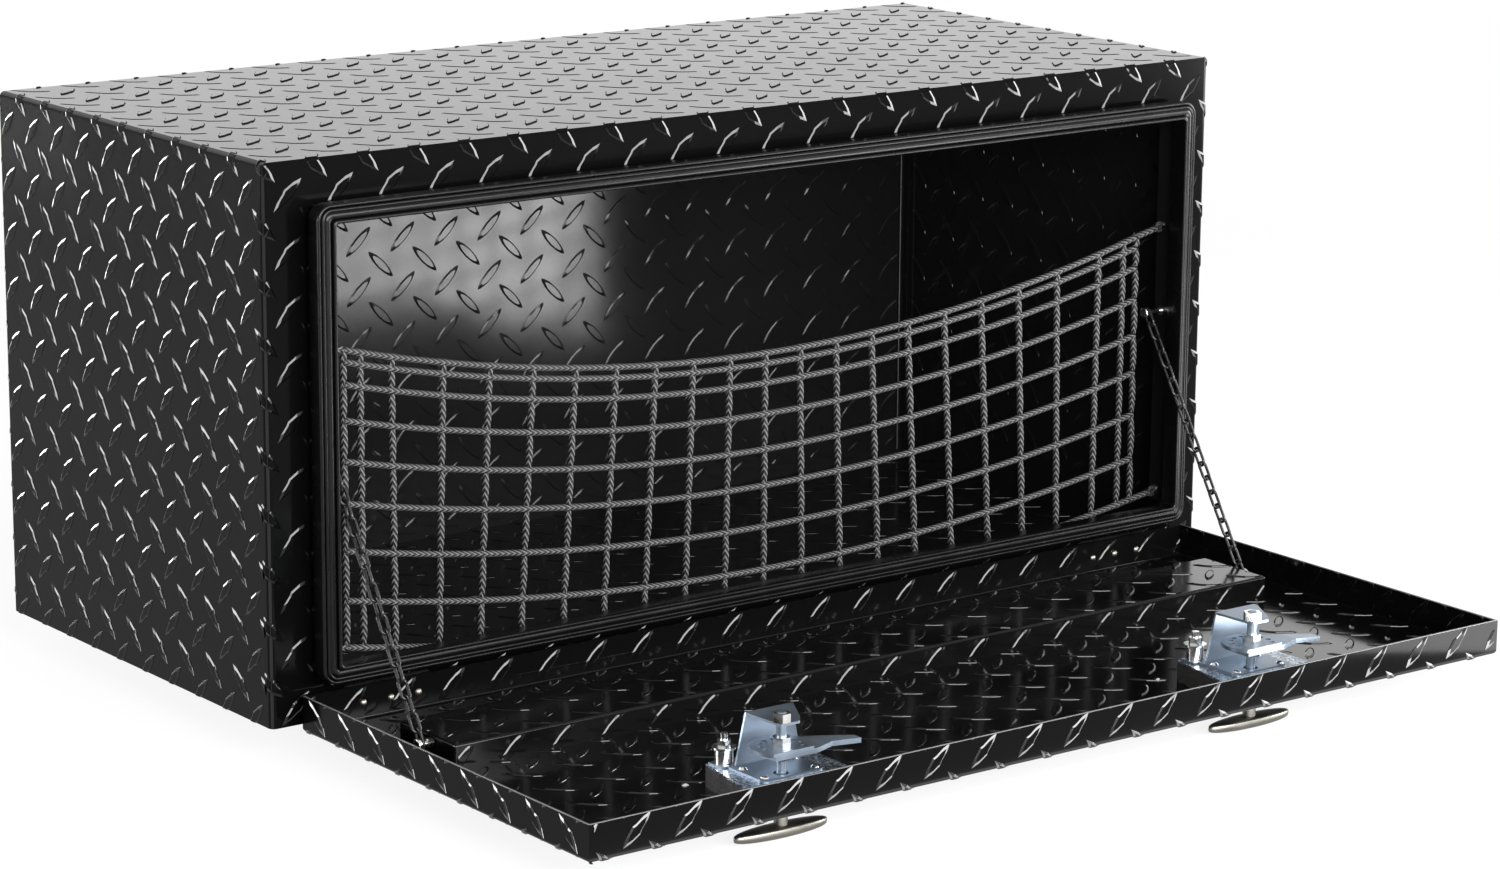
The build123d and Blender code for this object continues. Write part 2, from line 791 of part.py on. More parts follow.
    with BuildPart() as tongue:
        with BuildSketch(Plane(origin=(x, latch_y, tongue_bottom), x_dir=(1, 0, 0), z_dir=(0, -1, 0))):
            with BuildLine():
                Polyline(
                    (-tongue_root, 0), (tongue_waist, 0), (tongue_reach, -tongue_drop),
                    (tongue_reach, tongue_plate - tongue_drop), (tongue_waist, tongue_plate),
                    (-tongue_root, tongue_plate),
                    close=True,
                )
            make_face()
        extrude(amount=tongue_root + tongue_back_width, both=True)
        with BuildSketch(Plane(origin=(x, latch_y, tongue_bottom - tongue_drop - overrun))):
            with BuildLine():
                Polyline(
                    (-tongue_root, -tongue_half_width), (tongue_shoulder, -tongue_half_width),
                    (tongue_waist, -tongue_waist_half), (tongue_reach, -tongue_tip_half),
                    (tongue_reach, tongue_tip_half), (tongue_waist, tongue_half_width - tongue_drop),
                    (tongue_shoulder, tongue_back_width), (-tongue_root, tongue_half_width),
                    close=True,
                )
            make_face()
            Circle(spindle_radius + running_gap, mode=Mode.SUBTRACT)
        extrude(amount=tongue_plate + tongue_drop + 2 * overrun, mode=Mode.INTERSECT)
    save(tongue, f"latch_tongue_{name}")

    with BuildPart() as cam_nuts:
        for low, tall in (
            (cam_bottom + cam_plate, nut_height),
            (tongue_bottom - jam_nut_height, jam_nut_height),
        ):
            with BuildSketch(Plane(origin=(x, latch_y, low))):
                RegularPolygon(nut_across / 2, 6, major_radius=False)
                Circle(spindle_radius + running_gap, mode=Mode.SUBTRACT)
            extrude(amount=tall)
    save(cam_nuts, f"cam_nuts_{name}")

    with BuildPart() as top_nut:
        with BuildSketch(Plane(origin=(x, latch_y, bracket_top + nut_seat_gap))):
            RegularPolygon(nut_across / 2, 6, major_radius=False)
            Circle(spindle_radius + running_gap, mode=Mode.SUBTRACT)
        extrude(amount=nut_height)
    save(top_nut, f"spindle_nut_{name}")

# Bracket screws, and what is stacked on the mounting stud beside each bracket
with BuildPart() as bracket_screws:
    with Locations(*[place for x in latch_xs.values() for place in screw_places(x)]):
        add(foot_screw.part)
save(bracket_screws, "bracket_screws")

post_places = [(x - post_left, latch_y + post_back) for x in latch_xs.values()]
sleeve_bottom = plate_top + post_washer
sleeve_top = sleeve_bottom + post_sleeve

with BuildPart() as stud_sleeves:
    with BuildSketch(Plane.XY.offset(sleeve_bottom)):
        with Locations(*post_places):
            Circle(post_sleeve_radius)
            Circle(post_radius + running_gap, mode=Mode.SUBTRACT)
    extrude(amount=post_sleeve)
save(stud_sleeves, "stud_sleeves")

with BuildPart() as stud_base_washers:
    with BuildSketch(Plane.XY.offset(plate_top)):
        with Locations(*post_places):
            Rectangle(post_square, post_square)
            Circle(post_radius + running_gap, mode=Mode.SUBTRACT)
    extrude(amount=post_washer)
save(stud_base_washers, "stud_base_washers")

with BuildPart() as stud_top_washers:
    with BuildSketch(Plane.XY.offset(sleeve_top)):
        with Locations(*post_places):
            Circle(post_washer_radius)
            Circle(post_radius + running_gap, mode=Mode.SUBTRACT)
    extrude(amount=post_washer)
save(stud_top_washers, "stud_top_washers")

with BuildPart() as stud_nuts:
    with BuildSketch(Plane.XY.offset(sleeve_top + post_washer)):
        with Locations(*post_places):
            RegularPolygon(post_nut_across / 2, 6, major_radius=False)
            Circle(post_radius + running_gap, mode=Mode.SUBTRACT)
    extrude(amount=post_nut_height)
save(stud_nuts, "stud_nuts")

# Net hooks: a pin out of each jamb, bent forward through the net's corner eye
with BuildPart() as net_hooks:
    for side in sides.values():
        for z in (base + hook_top_height, base + hook_low_height):
            arm_length = hook_inset + sheet + hook_radius / 2
            arm_x = side * (collar_face + sheet - arm_length / 2)
            rod_x(arm_x, front + hook_back, z, hook_radius, arm_length)
            rod_x(side * (collar_face - hook_base / 2), front + hook_back, z, hook_base_radius, hook_base)
            rod_y(
                side * hook_x, (front + hook_back + hook_radius, front + hook_back - hook_pin_length),
                z, hook_radius,
            )
save(net_hooks, "net_hooks")


# Cargo net: sagging rows crossed by columns, with an eye at each corner
def net_height(share, row):
    """Height of a row's cord at a share of the half width."""
    high = net_end_height - net_sag * (1 - share**2)
    low = net_low_end_height - net_low_sag * (1 - share**2)
    return base + high + row * (low - high)


def net_row(row):
    """Band one cord wide along a row's parabola."""
    end = net_height(1, row)
    dip = 2 * net_height(0, row) - end
    half = net_cord / 2
    with BuildLine() as band:
        upper = Bezier((-net_half_width, end + half), (0, dip + half), (net_half_width, end + half))
        lower = Bezier((-net_half_width, end - half), (0, dip - half), (net_half_width, end - half))
        Line(upper @ 0, lower @ 0)
        Line(upper @ 1, lower @ 1)
    make_face(band.edges())


def net_strand(x0, z0, x1, z1):
    """Straight cord between two points."""
    length = hypot(x1 - x0, z1 - z0)
    with Locations(Location(((x0 + x1) / 2, (z0 + z1) / 2), degrees(atan2(z1 - z0, x1 - x0)))):
        Rectangle(length, net_cord)


with BuildPart() as cargo_net:
    with BuildSketch(Plane.XZ.offset(-net_y - net_cord / 2)):
        for row in net_row_shares:
            net_row(row)
        for top_share, low_share in zip(net_column_top_shares, net_column_low_shares):
            for side in (-1, 1) if top_share else (1,):
                net_strand(
                    side * top_share * net_half_width, net_height(top_share, 0) + net_cord / 2,
                    side * low_share * net_half_width, net_height(low_share, 1) - net_cord / 2,
                )
        for side in (-1, 1):
            for row, z in ((0, base + hook_top_height), (1, base + hook_low_height)):
                net_strand(side * net_half_width, net_height(1, row), side * hook_x, z)
        for side in (-1, 1):
            for z in (base + hook_top_height, base + hook_low_height):
                with Locations((side * hook_x, z)):
                    Circle(eye_radius)
                    Circle(hook_radius + hook_gap, mode=Mode.SUBTRACT)
    extrude(amount=net_cord)
save(cargo_net, "cargo_net")

print("chain span", round(chain_span, 2), "link pitch", round(link_pitch, 2))
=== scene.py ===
"""Underbody truck tool box: the looks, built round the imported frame, as an add-on run as a script."""

import math

import bpy
from mathutils import Matrix, Vector


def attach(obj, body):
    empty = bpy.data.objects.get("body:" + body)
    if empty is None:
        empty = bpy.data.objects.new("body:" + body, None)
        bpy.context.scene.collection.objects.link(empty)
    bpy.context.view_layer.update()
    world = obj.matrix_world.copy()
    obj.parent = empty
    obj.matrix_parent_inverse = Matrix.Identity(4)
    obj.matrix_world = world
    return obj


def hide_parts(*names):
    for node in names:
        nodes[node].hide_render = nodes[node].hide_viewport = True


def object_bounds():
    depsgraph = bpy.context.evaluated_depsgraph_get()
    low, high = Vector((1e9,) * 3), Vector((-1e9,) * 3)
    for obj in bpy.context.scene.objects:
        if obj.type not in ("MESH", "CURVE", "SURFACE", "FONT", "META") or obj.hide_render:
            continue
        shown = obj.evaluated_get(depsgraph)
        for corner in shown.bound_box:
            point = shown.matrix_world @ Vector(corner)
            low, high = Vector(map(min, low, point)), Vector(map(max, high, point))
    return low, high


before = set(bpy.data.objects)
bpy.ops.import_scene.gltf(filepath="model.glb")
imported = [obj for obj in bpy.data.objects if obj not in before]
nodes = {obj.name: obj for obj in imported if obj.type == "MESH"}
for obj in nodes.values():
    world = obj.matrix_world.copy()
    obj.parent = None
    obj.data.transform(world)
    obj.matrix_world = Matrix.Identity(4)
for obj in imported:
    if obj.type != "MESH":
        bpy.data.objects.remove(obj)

bl_info = {
    "name": "Underbody Truck Tool Box",
    "version": (1, 0, 0),
    "blender": (4, 5, 0),
    "location": "View3D > Sidebar > Tool Box",
    "description": "Dresses the packed tool box with tread plate, seal, net, finishes and a studio",
    "category": "Object",
}

cad_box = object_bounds()
MM = 0.001

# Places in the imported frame, in millimetres
HALF_WIDTH = 495.3
FRONT = -215.9
BACK = 215.9
BASE = -457.2
SHEET = 2.0
BEND = 5.0
RETURN_BACK = -207.8
HOLE_X = 456.8
HOLE_TOP = -37.3
HOLE_BOTTOM = -418.7
DOOR_X = 471.5
DOOR_BACK = -223.9
DOOR_FRONT = -622.9
DOOR_MIDDLE = (DOOR_BACK + DOOR_FRONT) / 2
DOOR_SKIN = -461.2
DOOR_RIM = -431.2
DOOR_BEND = 4.0
STIFFENER_X = 430.3
STIFFENER_BACK = -301.9
STIFFENER_FRONT = -381.9
STIFFENER_TOP = -439.2
SEAL_X = 460.3
SEAL_TOP = -33.8
SEAL_BOTTOM = -422.2
SEAL_RADIUS = 13.0
SEAL_LEAST_RADIUS = 3.5
LATCH_X = {"left": -267.8, "right": 219.2}
LATCH_Y = -585.9


def linear(hex_colour):
    """sRGB hex to linear colour."""
    channels = [int(hex_colour[i:i + 2], 16) / 255 for i in (1, 3, 5)]
    return [c / 12.92 if c <= 0.04045 else ((c + 0.055) / 1.055) ** 2.4 for c in channels] + [1.0]


# Sizes and colours that a user would change
class TreadSettings(bpy.types.PropertyGroup):
    pitch_x: bpy.props.FloatProperty(
        name="Pitch across", description="Distance between like leaves along the width",
        default=47.3 * MM, unit="LENGTH",
    )
    pitch_y: bpy.props.FloatProperty(
        name="Pitch in depth", description="Distance between like leaves along the depth",
        default=43.8 * MM, unit="LENGTH",
    )
    pitch_z: bpy.props.FloatProperty(
        name="Pitch up", description="Distance between like leaves along the height",
        default=46.2 * MM, unit="LENGTH",
    )
    leaf_length: bpy.props.FloatProperty(
        name="Leaf length", description="Length of one raised leaf",
        default=37.4 * MM, unit="LENGTH",
    )
    leaf_height: bpy.props.FloatProperty(
        name="Leaf height", description="How far a leaf stands above the sheet",
        default=1.0 * MM, unit="LENGTH",
    )


class NetSettings(bpy.types.PropertyGroup):
    cord: bpy.props.FloatProperty(
        name="Cord", description="Diameter of the net's cord", default=6.4 * MM, unit="LENGTH",
    )
    braid: bpy.props.FloatProperty(
        name="Braid", description="Length of one crossing of the braid, over twice the real one, to show",
        default=5.6 * MM, unit="LENGTH",
    )


class FinishSettings(bpy.types.PropertyGroup):
    paint: bpy.props.FloatVectorProperty(
        name="Paint", description="Colour of the gloss black coat", subtype="COLOR",
        default=linear("#040404")[:3],
    )
    rubber: bpy.props.FloatVectorProperty(
        name="Rubber", description="Colour of the door seal", subtype="COLOR",
        default=linear("#050505")[:3],
    )


class StageSettings(bpy.types.PropertyGroup):
    floor_size: bpy.props.FloatProperty(
        name="Floor", description="Width of the pale floor", default=40.0, unit="LENGTH",
    )


# Small helpers
def deselect():
    """Nothing selected, in object mode."""
    if bpy.context.object and bpy.context.object.mode != "OBJECT":
        bpy.ops.object.mode_set(mode="OBJECT")
    bpy.ops.object.select_all(action="DESELECT")


def only(piece):
    """One piece selected and active."""
    deselect()
    piece.select_set(True)
    bpy.context.view_layer.objects.active = piece


def copy_of(piece, name):
    """Copy with its own mesh."""
    twin = piece.copy()
    twin.data = piece.data.copy()
    twin.name = name
    bpy.context.scene.collection.objects.link(twin)
    return twin


def joined(pieces, name):
    """Several pieces made one."""
    deselect()
    for piece in pieces:
        piece.select_set(True)
    bpy.context.view_layer.objects.active = pieces[0]
    if len(pieces) > 1:
        bpy.ops.object.join()
    pieces[0].name = name
    return pieces[0]


def finished(piece, materials, body):
    """Materials and body of a finished piece; no materials keeps those it has."""
    if materials:
        piece.data.materials.clear()
    for material in materials:
        piece.data.materials.append(material)
    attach(piece, body)
    return piece


# Materials
def add_node(tree, kind, settings=None, links=None):
    """One node with its socket values and incoming links; keys that are no socket are attributes."""
    node = tree.nodes.new(kind)
    for key, value in (settings or {}).items():
        if isinstance(key, int) or key in node.inputs:
            node.inputs[key].default_value = value
        else:
            setattr(node, key, value)
    for key, source in (links or {}).items():
        tree.links.new(source, node.inputs[key])
    return node


def new_material(name, colour=None, metallic=0.0, specular=0.5):
    """Material with plain values, and one colour if it has only one; returns it, its tree and shader."""
    material = bpy.data.materials.new(name)
    material.use_nodes = True
    tree = material.node_tree
    shader = tree.nodes["Principled BSDF"]
    if colour:
        shader.inputs["Base Color"].default_value = linear(colour)
    shader.inputs["Metallic"].default_value = metallic
    shader.inputs["Specular IOR Level"].default_value = specular
    return material, tree, shader


def cloudy(tree, shader, low, high, period_mm):
    """Slow change of roughness over the surface, from low to high; returns its place and its noise."""
    place = add_node(tree, "ShaderNodeTexCoord")
    noise = add_node(
        tree, "ShaderNodeTexNoise", {"Scale": 1000 / period_mm, "Detail": 4.0},
        {"Vector": place.outputs["Object"]},
    )
    # Nearly all of the noise lies between 0.3 and 0.7
    spread = add_node(
        tree, "ShaderNodeMapRange", {"From Min": 0.3, "From Max": 0.7, "To Min": low, "To Max": high},
        {"Value": noise.outputs["Fac"]},
    )
    tree.links.new(spread.outputs["Result"], shader.inputs["Roughness"])
    return place, noise


def grained(tree, shader, place, period_mm, distance_mm, strength):
    """Fine bump whose grains are period_mm across and up to distance_mm high."""
    noise = add_node(
        tree, "ShaderNodeTexNoise", {"Scale": 1000 / period_mm, "Detail": 2.0},
        {"Vector": place.outputs["Object"]},
    )
    bump = add_node(
        tree, "ShaderNodeBump", {"Strength": strength, "Distance": distance_mm * MM},
        {"Height": noise.outputs["Fac"]},
    )
    tree.links.new(bump.outputs["Normal"], shader.inputs["Normal"])


# Middle and half size, in millimetres, of the space that each coat counts as sheltered, and where its
# colour is painted lighter as painted light: it ends inside the sheets' thickness, and the tray's goes well
# up past the rim
BODY_SPACE = ((0, 0, BASE / 2), (HALF_WIDTH - 0.7, BACK - 0.7, -BASE / 2 - 0.4))
TRAY_REACH = 500
TRAY_SPACE = (
    (0, DOOR_MIDDLE, DOOR_SKIN + 1 + TRAY_REACH),
    (DOOR_X - 0.9, DOOR_BACK - DOOR_MIDDLE - 0.9, TRAY_REACH),
)


def gloss_coat(name, space, outer_gloss, inner_gloss, inside_painted_light):
    """Gloss black powder coat: near-black, mirror-like, a little wavy, with its own gloss inside, where its
    colour is painted lighter as painted light.
    """
    middle, half_size = space
    material, tree, shader = new_material(name)
    place, _ = cloudy(tree, shader, 0.1, 0.15, period_mm=140)
    # Coat ripple, about 12 mm from crest to crest
    grained(tree, shader, place, period_mm=12, distance_mm=0.03, strength=0.1)
    offset = add_node(
        tree, "ShaderNodeVectorMath", {"operation": "SUBTRACT", 1: [part * MM for part in middle]},
        {0: place.outputs["Object"]},
    )
    size = add_node(tree, "ShaderNodeVectorMath", {"operation": "ABSOLUTE"}, {0: offset.outputs[0]})
    parts = add_node(tree, "ShaderNodeSeparateXYZ", links={0: size.outputs[0]})
    inside = None
    for axis, half in zip("XYZ", half_size):
        within = add_node(
            tree, "ShaderNodeMath", {"operation": "LESS_THAN", 1: half * MM}, {0: parts.outputs[axis]},
        )
        inside = within if inside is None else add_node(
            tree, "ShaderNodeMath", {"operation": "MULTIPLY"},
            {0: inside.outputs[0], 1: within.outputs[0]},
        )
    gloss = add_node(
        tree, "ShaderNodeMapRange", {"To Min": outer_gloss, "To Max": inner_gloss},
        {"Value": inside.outputs[0]},
    )
    tree.links.new(gloss.outputs["Result"], shader.inputs["Specular IOR Level"])
    # Painted light: inside the space, the paint's colour is made lighter by the given factor, for the lit
    # inside walls
    ramp = add_node(tree, "ShaderNodeValToRGB", links={"Fac": inside.outputs[0]})
    paint = bpy.context.scene.finish_settings.paint
    ramp.color_ramp.elements[0].color = [*paint, 1.0]
    ramp.color_ramp.elements[1].color = [*(channel * inside_painted_light for channel in paint), 1.0]
    tree.links.new(ramp.outputs["Color"], shader.inputs["Base Color"])
    return material


def body_paint():
    """Coat on the body's sheets: deep black that shows the pale studio only faintly."""
    return gloss_coat(
        "gloss_black_coat_on_body_plate", BODY_SPACE, outer_gloss=0.055, inner_gloss=0.27, inside_painted_light=4.0,
    )


def door_paint():
    """Coat on the door's sheets: the same black, polished in the tray, where it mirrors the room."""
    return gloss_coat(
        "gloss_black_coat_on_door_plate", TRAY_SPACE, outer_gloss=0.055, inner_gloss=0.17, inside_painted_light=1.3,
    )


def body_flank_paint():
    """Coat on the body's leaf flanks, rubbed smoother: catches each lamp as a thin white line."""
    return gloss_coat(
        "burnished_coat_on_body_leaves", BODY_SPACE, outer_gloss=0.27, inner_gloss=0.14, inside_painted_light=4.0,
    )


def door_flank_paint():
    """Coat on the door's leaf flanks, rubbed smoother: catches each lamp as a thin white line."""
    return gloss_coat(
        "burnished_coat_on_door_leaves", TRAY_SPACE, outer_gloss=0.5, inner_gloss=0.3, inside_painted_light=1.3,
    )


def road_film():
    """Dull black coat on the flanks of the top's leaves, as painted shade: outlines each leaf."""
    material, tree, shader = new_material("road_film_on_leaf_foot", "#0b0b0b", specular=0.03)
    cloudy(tree, shader, 0.5, 0.7, period_mm=20)
    return material


def textured_coat():
    """Wrinkled black coat on the raised latch seat: a dull grey-black speckle."""
    material, tree, shader = new_material("wrinkle_black_coat", "#1c1b1a")
    place, _ = cloudy(tree, shader, 0.35, 0.55, period_mm=6)
    # Wrinkles, about 1.6 mm across
    grained(tree, shader, place, period_mm=1.6, distance_mm=0.5, strength=1.0)
    return material


def black_steel():
    """Black-oxide steel of chains and hinges: dark satin metal, lighter and darker in soft patches."""
    material, tree, shader = new_material("black_oxide_steel", metallic=0.6)
    _, noise = cloudy(tree, shader, 0.22, 0.4, period_mm=12)
    ramp = add_node(tree, "ShaderNodeValToRGB", links={"Fac": noise.outputs["Fac"]})
    ramp.color_ramp.elements[0].color = linear("#060606")
    ramp.color_ramp.elements[1].color = linear("#2a2a2a")
    tree.links.new(ramp.outputs["Color"], shader.inputs["Base Color"])
    return material


def seal_rubber():
    """Extruded EPDM rubber: satin black with soft long highlights."""
    material, tree, shader = new_material("extruded_epdm_rubber", specular=0.16)
    shader.inputs["Base Color"].default_value = [*bpy.context.scene.finish_settings.rubber, 1.0]
    place, _ = cloudy(tree, shader, 0.22, 0.3, period_mm=30)
    # Skin of the rubber, grained about 1.2 mm across, drawn coarse enough to show
    grained(tree, shader, place, period_mm=1.2, distance_mm=0.03, strength=0.2)
    return material


def zinc_plate():
    """Bright zinc plate on steel: pale blue metal, faintly clouded, with a fine speckle."""
    material, tree, shader = new_material("blue_zinc_plated_steel", metallic=1.0)
    place, noise = cloudy(tree, shader, 0.36, 0.44, period_mm=30)
    ramp = add_node(tree, "ShaderNodeValToRGB", links={"Fac": noise.outputs["Fac"]})
    ramp.color_ramp.elements[0].color = linear("#68727e")
    ramp.color_ramp.elements[1].color = linear("#8a96a3")
    tree.links.new(ramp.outputs["Color"], shader.inputs["Base Color"])
    # Speckle of the plating, about 1.5 mm across
    grained(tree, shader, place, period_mm=1.5, distance_mm=0.02, strength=0.1)
    return material


def spangled_zinc():
    """Hot-dip zinc on the base plate: small bright and dull crystals about 1.5 mm across."""
    material, tree, shader = new_material("spangled_zinc_plate", metallic=1.0)
    place = add_node(tree, "ShaderNodeTexCoord")
    crystal_mm = 1.5
    cells = add_node(
        tree, "ShaderNodeTexVoronoi", {"Scale": 1000 / crystal_mm}, {"Vector": place.outputs["Object"]},
    )
    grey = add_node(tree, "ShaderNodeSeparateColor", links={"Color": cells.outputs["Color"]})
    ramp = add_node(tree, "ShaderNodeValToRGB", links={"Fac": grey.outputs["Red"]})
    ramp.color_ramp.elements[0].color = linear("#3c444e")
    ramp.color_ramp.elements[1].color = linear("#b4bfca")
    tree.links.new(ramp.outputs["Color"], shader.inputs["Base Color"])
    rough = add_node(
        tree, "ShaderNodeMapRange", {"To Min": 0.2, "To Max": 0.5}, {"Value": grey.outputs["Green"]},
    )
    tree.links.new(rough.outputs["Result"], shader.inputs["Roughness"])
    return material


def bright_steel():
    """Polished plated steel of screws, bolts, nuts and hooks: white metal with small scuffs."""
    material, tree, shader = new_material("nickel_plated_steel", "#d2d2d0", metallic=1.0)
    cloudy(tree, shader, 0.12, 0.28, period_mm=5)
    return material


def handle_nickel():
    """Satin nickel of the cast T-handles, the rivets and the hinge pins: soft warm grey, finely blasted."""
    material, tree, shader = new_material("satin_nickel_casting", "#6a6862", metallic=1.0)
    place, _ = cloudy(tree, shader, 0.3, 0.44, period_mm=18)
    # Blasted grain, about 0.8 mm, drawn coarse enough to show
    grained(tree, shader, place, period_mm=0.8, distance_mm=0.03, strength=0.3)
    return material


def painted_edge_highlight():
    """Painted highlight on a sheet's edge: dull grey, so that rims and corners are drawn as thin light
    lines.
    """
    material, tree, shader = new_material("painted_highlight_on_sheet_edges")
    _, noise = cloudy(tree, shader, 0.4, 0.6, period_mm=25)
    ramp = add_node(tree, "ShaderNodeValToRGB", links={"Fac": noise.outputs["Fac"]})
    ramp.color_ramp.elements[0].color = linear("#363636")
    ramp.color_ramp.elements[1].color = linear("#565656")
    tree.links.new(ramp.outputs["Color"], shader.inputs["Base Color"])
    return material


def braided_cord():
    """Braided polyester cord: charcoal strands in chevrons, with painted shade between the strands and a
    painted highlight on each crown.
    """
    material, tree, shader = new_material("braided_polyester_cord", specular=0.25)
    shader.inputs["Roughness"].default_value = 0.6
    place = add_node(tree, "ShaderNodeUVMap", {"uv_map": "cord"})
    parts = add_node(tree, "ShaderNodeSeparateXYZ", links={"Vector": place.outputs["UV"]})
    # Around the cord, the strands fold back twice, so that they meet in chevrons
    around = add_node(
        tree, "ShaderNodeMath", {"operation": "PINGPONG", 1: 0.25}, {0: parts.outputs["Y"]},
    )
    # A strand runs on by five crossings for each turn round the cord
    lean = add_node(tree, "ShaderNodeMath", {"operation": "MULTIPLY", 1: 5.0}, {0: around.outputs[0]})
    run = add_node(
        tree, "ShaderNodeMath", {"operation": "ADD"}, {0: parts.outputs["X"], 1: lean.outputs[0]},
    )
    turn = add_node(
        tree, "ShaderNodeMath", {"operation": "MULTIPLY", 1: 2 * math.pi}, {0: run.outputs[0]},
    )
    wave = add_node(tree, "ShaderNodeMath", {"operation": "SINE"}, {0: turn.outputs[0]})
    crown = add_node(
        tree, "ShaderNodeMapRange", {"From Min": -1.0, "From Max": 1.0}, {"Value": wave.outputs[0]},
    )
    # Painted shade and highlight: each strand runs from near black at its sides to grey on its crown
    ramp = add_node(tree, "ShaderNodeValToRGB", links={"Fac": crown.outputs["Result"]})
    ramp.color_ramp.elements[0].position = 0.55
    ramp.color_ramp.elements[0].color = linear("#010101")
    ramp.color_ramp.elements[1].position = 0.9
    ramp.color_ramp.elements[1].color = linear("#4e4e4e")
    tree.links.new(ramp.outputs["Color"], shader.inputs["Base Color"])
    bump = add_node(
        tree, "ShaderNodeBump", {"Strength": 0.8, "Distance": 0.6 * MM},
        {"Height": crown.outputs["Result"]},
    )
    tree.links.new(bump.outputs["Normal"], shader.inputs["Normal"])
    return material


finishes = {}


def make_finishes():
    """All the materials, once."""
    finishes.update(
        body=body_paint(), body_flank=body_flank_paint(), door=door_paint(),
        door_flank=door_flank_paint(), wrinkle=textured_coat(), oxide=black_steel(),
        rubber=seal_rubber(), zinc=zinc_plate(), spangle=spangled_zinc(), bright=bright_steel(),
        nickel=handle_nickel(), edge=painted_edge_highlight(), film=road_film(), cord=braided_cord(),
    )


# The carried-over nodes that each finish is for
NODE_FINISHES = {
    "body": ["body_wrap", "front_frame", "back_panel", "bottom_panel"],
    "door": ["door_panel", "door_stiffener"],
    "wrinkle": ["latch_box_left", "latch_box_right"],
    "oxide": [
        "hinge_body_leaf_left", "hinge_body_leaf_right", "hinge_door_leaf_left",
        "hinge_door_leaf_right", "chain_left_upper", "chain_left_lower", "chain_right_upper",
        "chain_right_lower",
    ],
    "zinc": [
        "latch_bracket_left", "latch_bracket_right", "latch_spindle_left", "latch_spindle_right",
        "cam_plate_left", "cam_plate_right", "latch_tongue_left", "latch_tongue_right",
        "stud_base_washers",
    ],
    "spangle": ["latch_plate_left", "latch_plate_right"],
    "bright": [
        "net_hooks", "chain_top_bolts", "chain_foot_bolts", "door_skin_rivets", "bracket_screws",
        "cam_nuts_left", "cam_nuts_right", "spindle_nut_left", "spindle_nut_right", "stud_sleeves",
        "stud_top_washers", "stud_nuts", "latch_stud_left", "latch_stud_right",
    ],
    "nickel": [
        "t_handle_left", "t_handle_right", "handle_washer_left", "handle_washer_right",
        "hinge_body_rivets", "hinge_door_rivets", "hinge_pin_left", "hinge_pin_right",
    ],
}


# Tread plate: a leaf is drawn this long, and a pair of them in a square cell, in millimetres
DRAWN_LEAF = 37.4
DRAWN_CELL = 47.0
LEAF_SINK = 0.25
# The foot of a leaf is steep for this share of its height, and its outline shrinks by so much there
FOOT_SHARE = 0.42
FOOT_SHRINK = 0.95
# Share of a leaf's outline that its flat top keeps, and the two leaves' shares of the full height
WORN_FLANK = (0.88, 0.95, 0.35)
GENTLE_FLANK = (0.71, 1.0, 1.0)


def sharp_leaf():
    """Outline of an outside leaf, in millimetres: a long rhombus with a small step in each edge."""
    upper = [(18.7, 0), (11.5, 3.2), (1.1, 5.3), (-2.6, 4.0), (-11.5, 2.7), (-18.7, 0)]
    return upper + [(x, -y) for x, y in upper[-2:0:-1]]


def lens_leaf():
    """Outline of an inside leaf, in millimetres: two shallow arcs that thin out to points."""
    half_width, thinning, steps = 4.4, 1.35, 6
    upper = [
        (
            DRAWN_LEAF / 2 * math.cos(math.pi * i / steps),
            half_width * math.sin(math.pi * i / steps) ** thinning,
        )
        for i in range(steps)
    ]
    return upper + [(-x, -y) for x, y in upper]


def leaf_pair(outline, pitch_u, pitch_v, materials, top_share, first_rise, second_rise):
    """One leaf leaning each way, half a cell apart, as a closed pair with flat tops."""
    settings = bpy.context.scene.tread_settings
    sink = LEAF_SINK * MM
    rise = settings.leaf_height
    deselect()
    bpy.ops.mesh.primitive_circle_add(vertices=len(outline), radius=1.0, fill_type="NGON")
    leaf = bpy.context.object
    stretch = settings.leaf_length / (DRAWN_LEAF * MM)
    for vertex, (x, y) in zip(leaf.data.vertices, outline):
        vertex.co = (x * MM * stretch, y * MM, -sink)
    bpy.ops.object.mode_set(mode="EDIT")
    bpy.ops.mesh.select_all(action="SELECT")
    foot, flank = sink + rise * FOOT_SHARE, rise * (1 - FOOT_SHARE)
    for height, share in ((foot, FOOT_SHRINK), (flank, top_share)):
        bpy.ops.mesh.extrude_region_move(TRANSFORM_OT_translate={"value": (0, 0, height)})
        bpy.ops.transform.resize(value=(share, share, 1))
    bpy.ops.mesh.select_all(action="SELECT")
    bpy.ops.mesh.normals_make_consistent(inside=False)
    bpy.ops.object.mode_set(mode="OBJECT")
    for material in materials:
        leaf.data.materials.append(material)
    # The flat top takes the first material, the flanks the second
    for face in leaf.data.polygons:
        face.material_index = 0 if abs(face.normal.z) > 0.99 else 1
    other = copy_of(leaf, "leaf_pair_other")
    for piece, share, lean in ((leaf, first_rise, 45), (other, second_rise, -45)):
        piece.data.transform(Matrix.Diagonal((1, 1, share, 1)))
        piece.data.transform(Matrix.Rotation(math.radians(lean), 4, "Z"))
    cell = DRAWN_CELL * MM
    other.data.transform(Matrix.Translation((cell / 2, cell / 2, 0)))
    pair = joined([leaf, other], "leaf_pair")
    pair.data.transform(Matrix.Diagonal((pitch_u / cell, pitch_v / cell, 1, 1)))
    return pair


def trim(axis, low, high):
    """Cut the flat pattern in edit mode off square at both ends of an axis, and close the cuts."""
    normal = (1, 0, 0) if axis == 0 else (0, 1, 0)
    for end, outer in ((low, False), (high, True)):
        bpy.ops.mesh.select_all(action="SELECT")
        bpy.ops.mesh.bisect(
            plane_co=tuple(end * n for n in normal), plane_no=normal, use_fill=True,
            clear_inner=not outer, clear_outer=outer,
        )


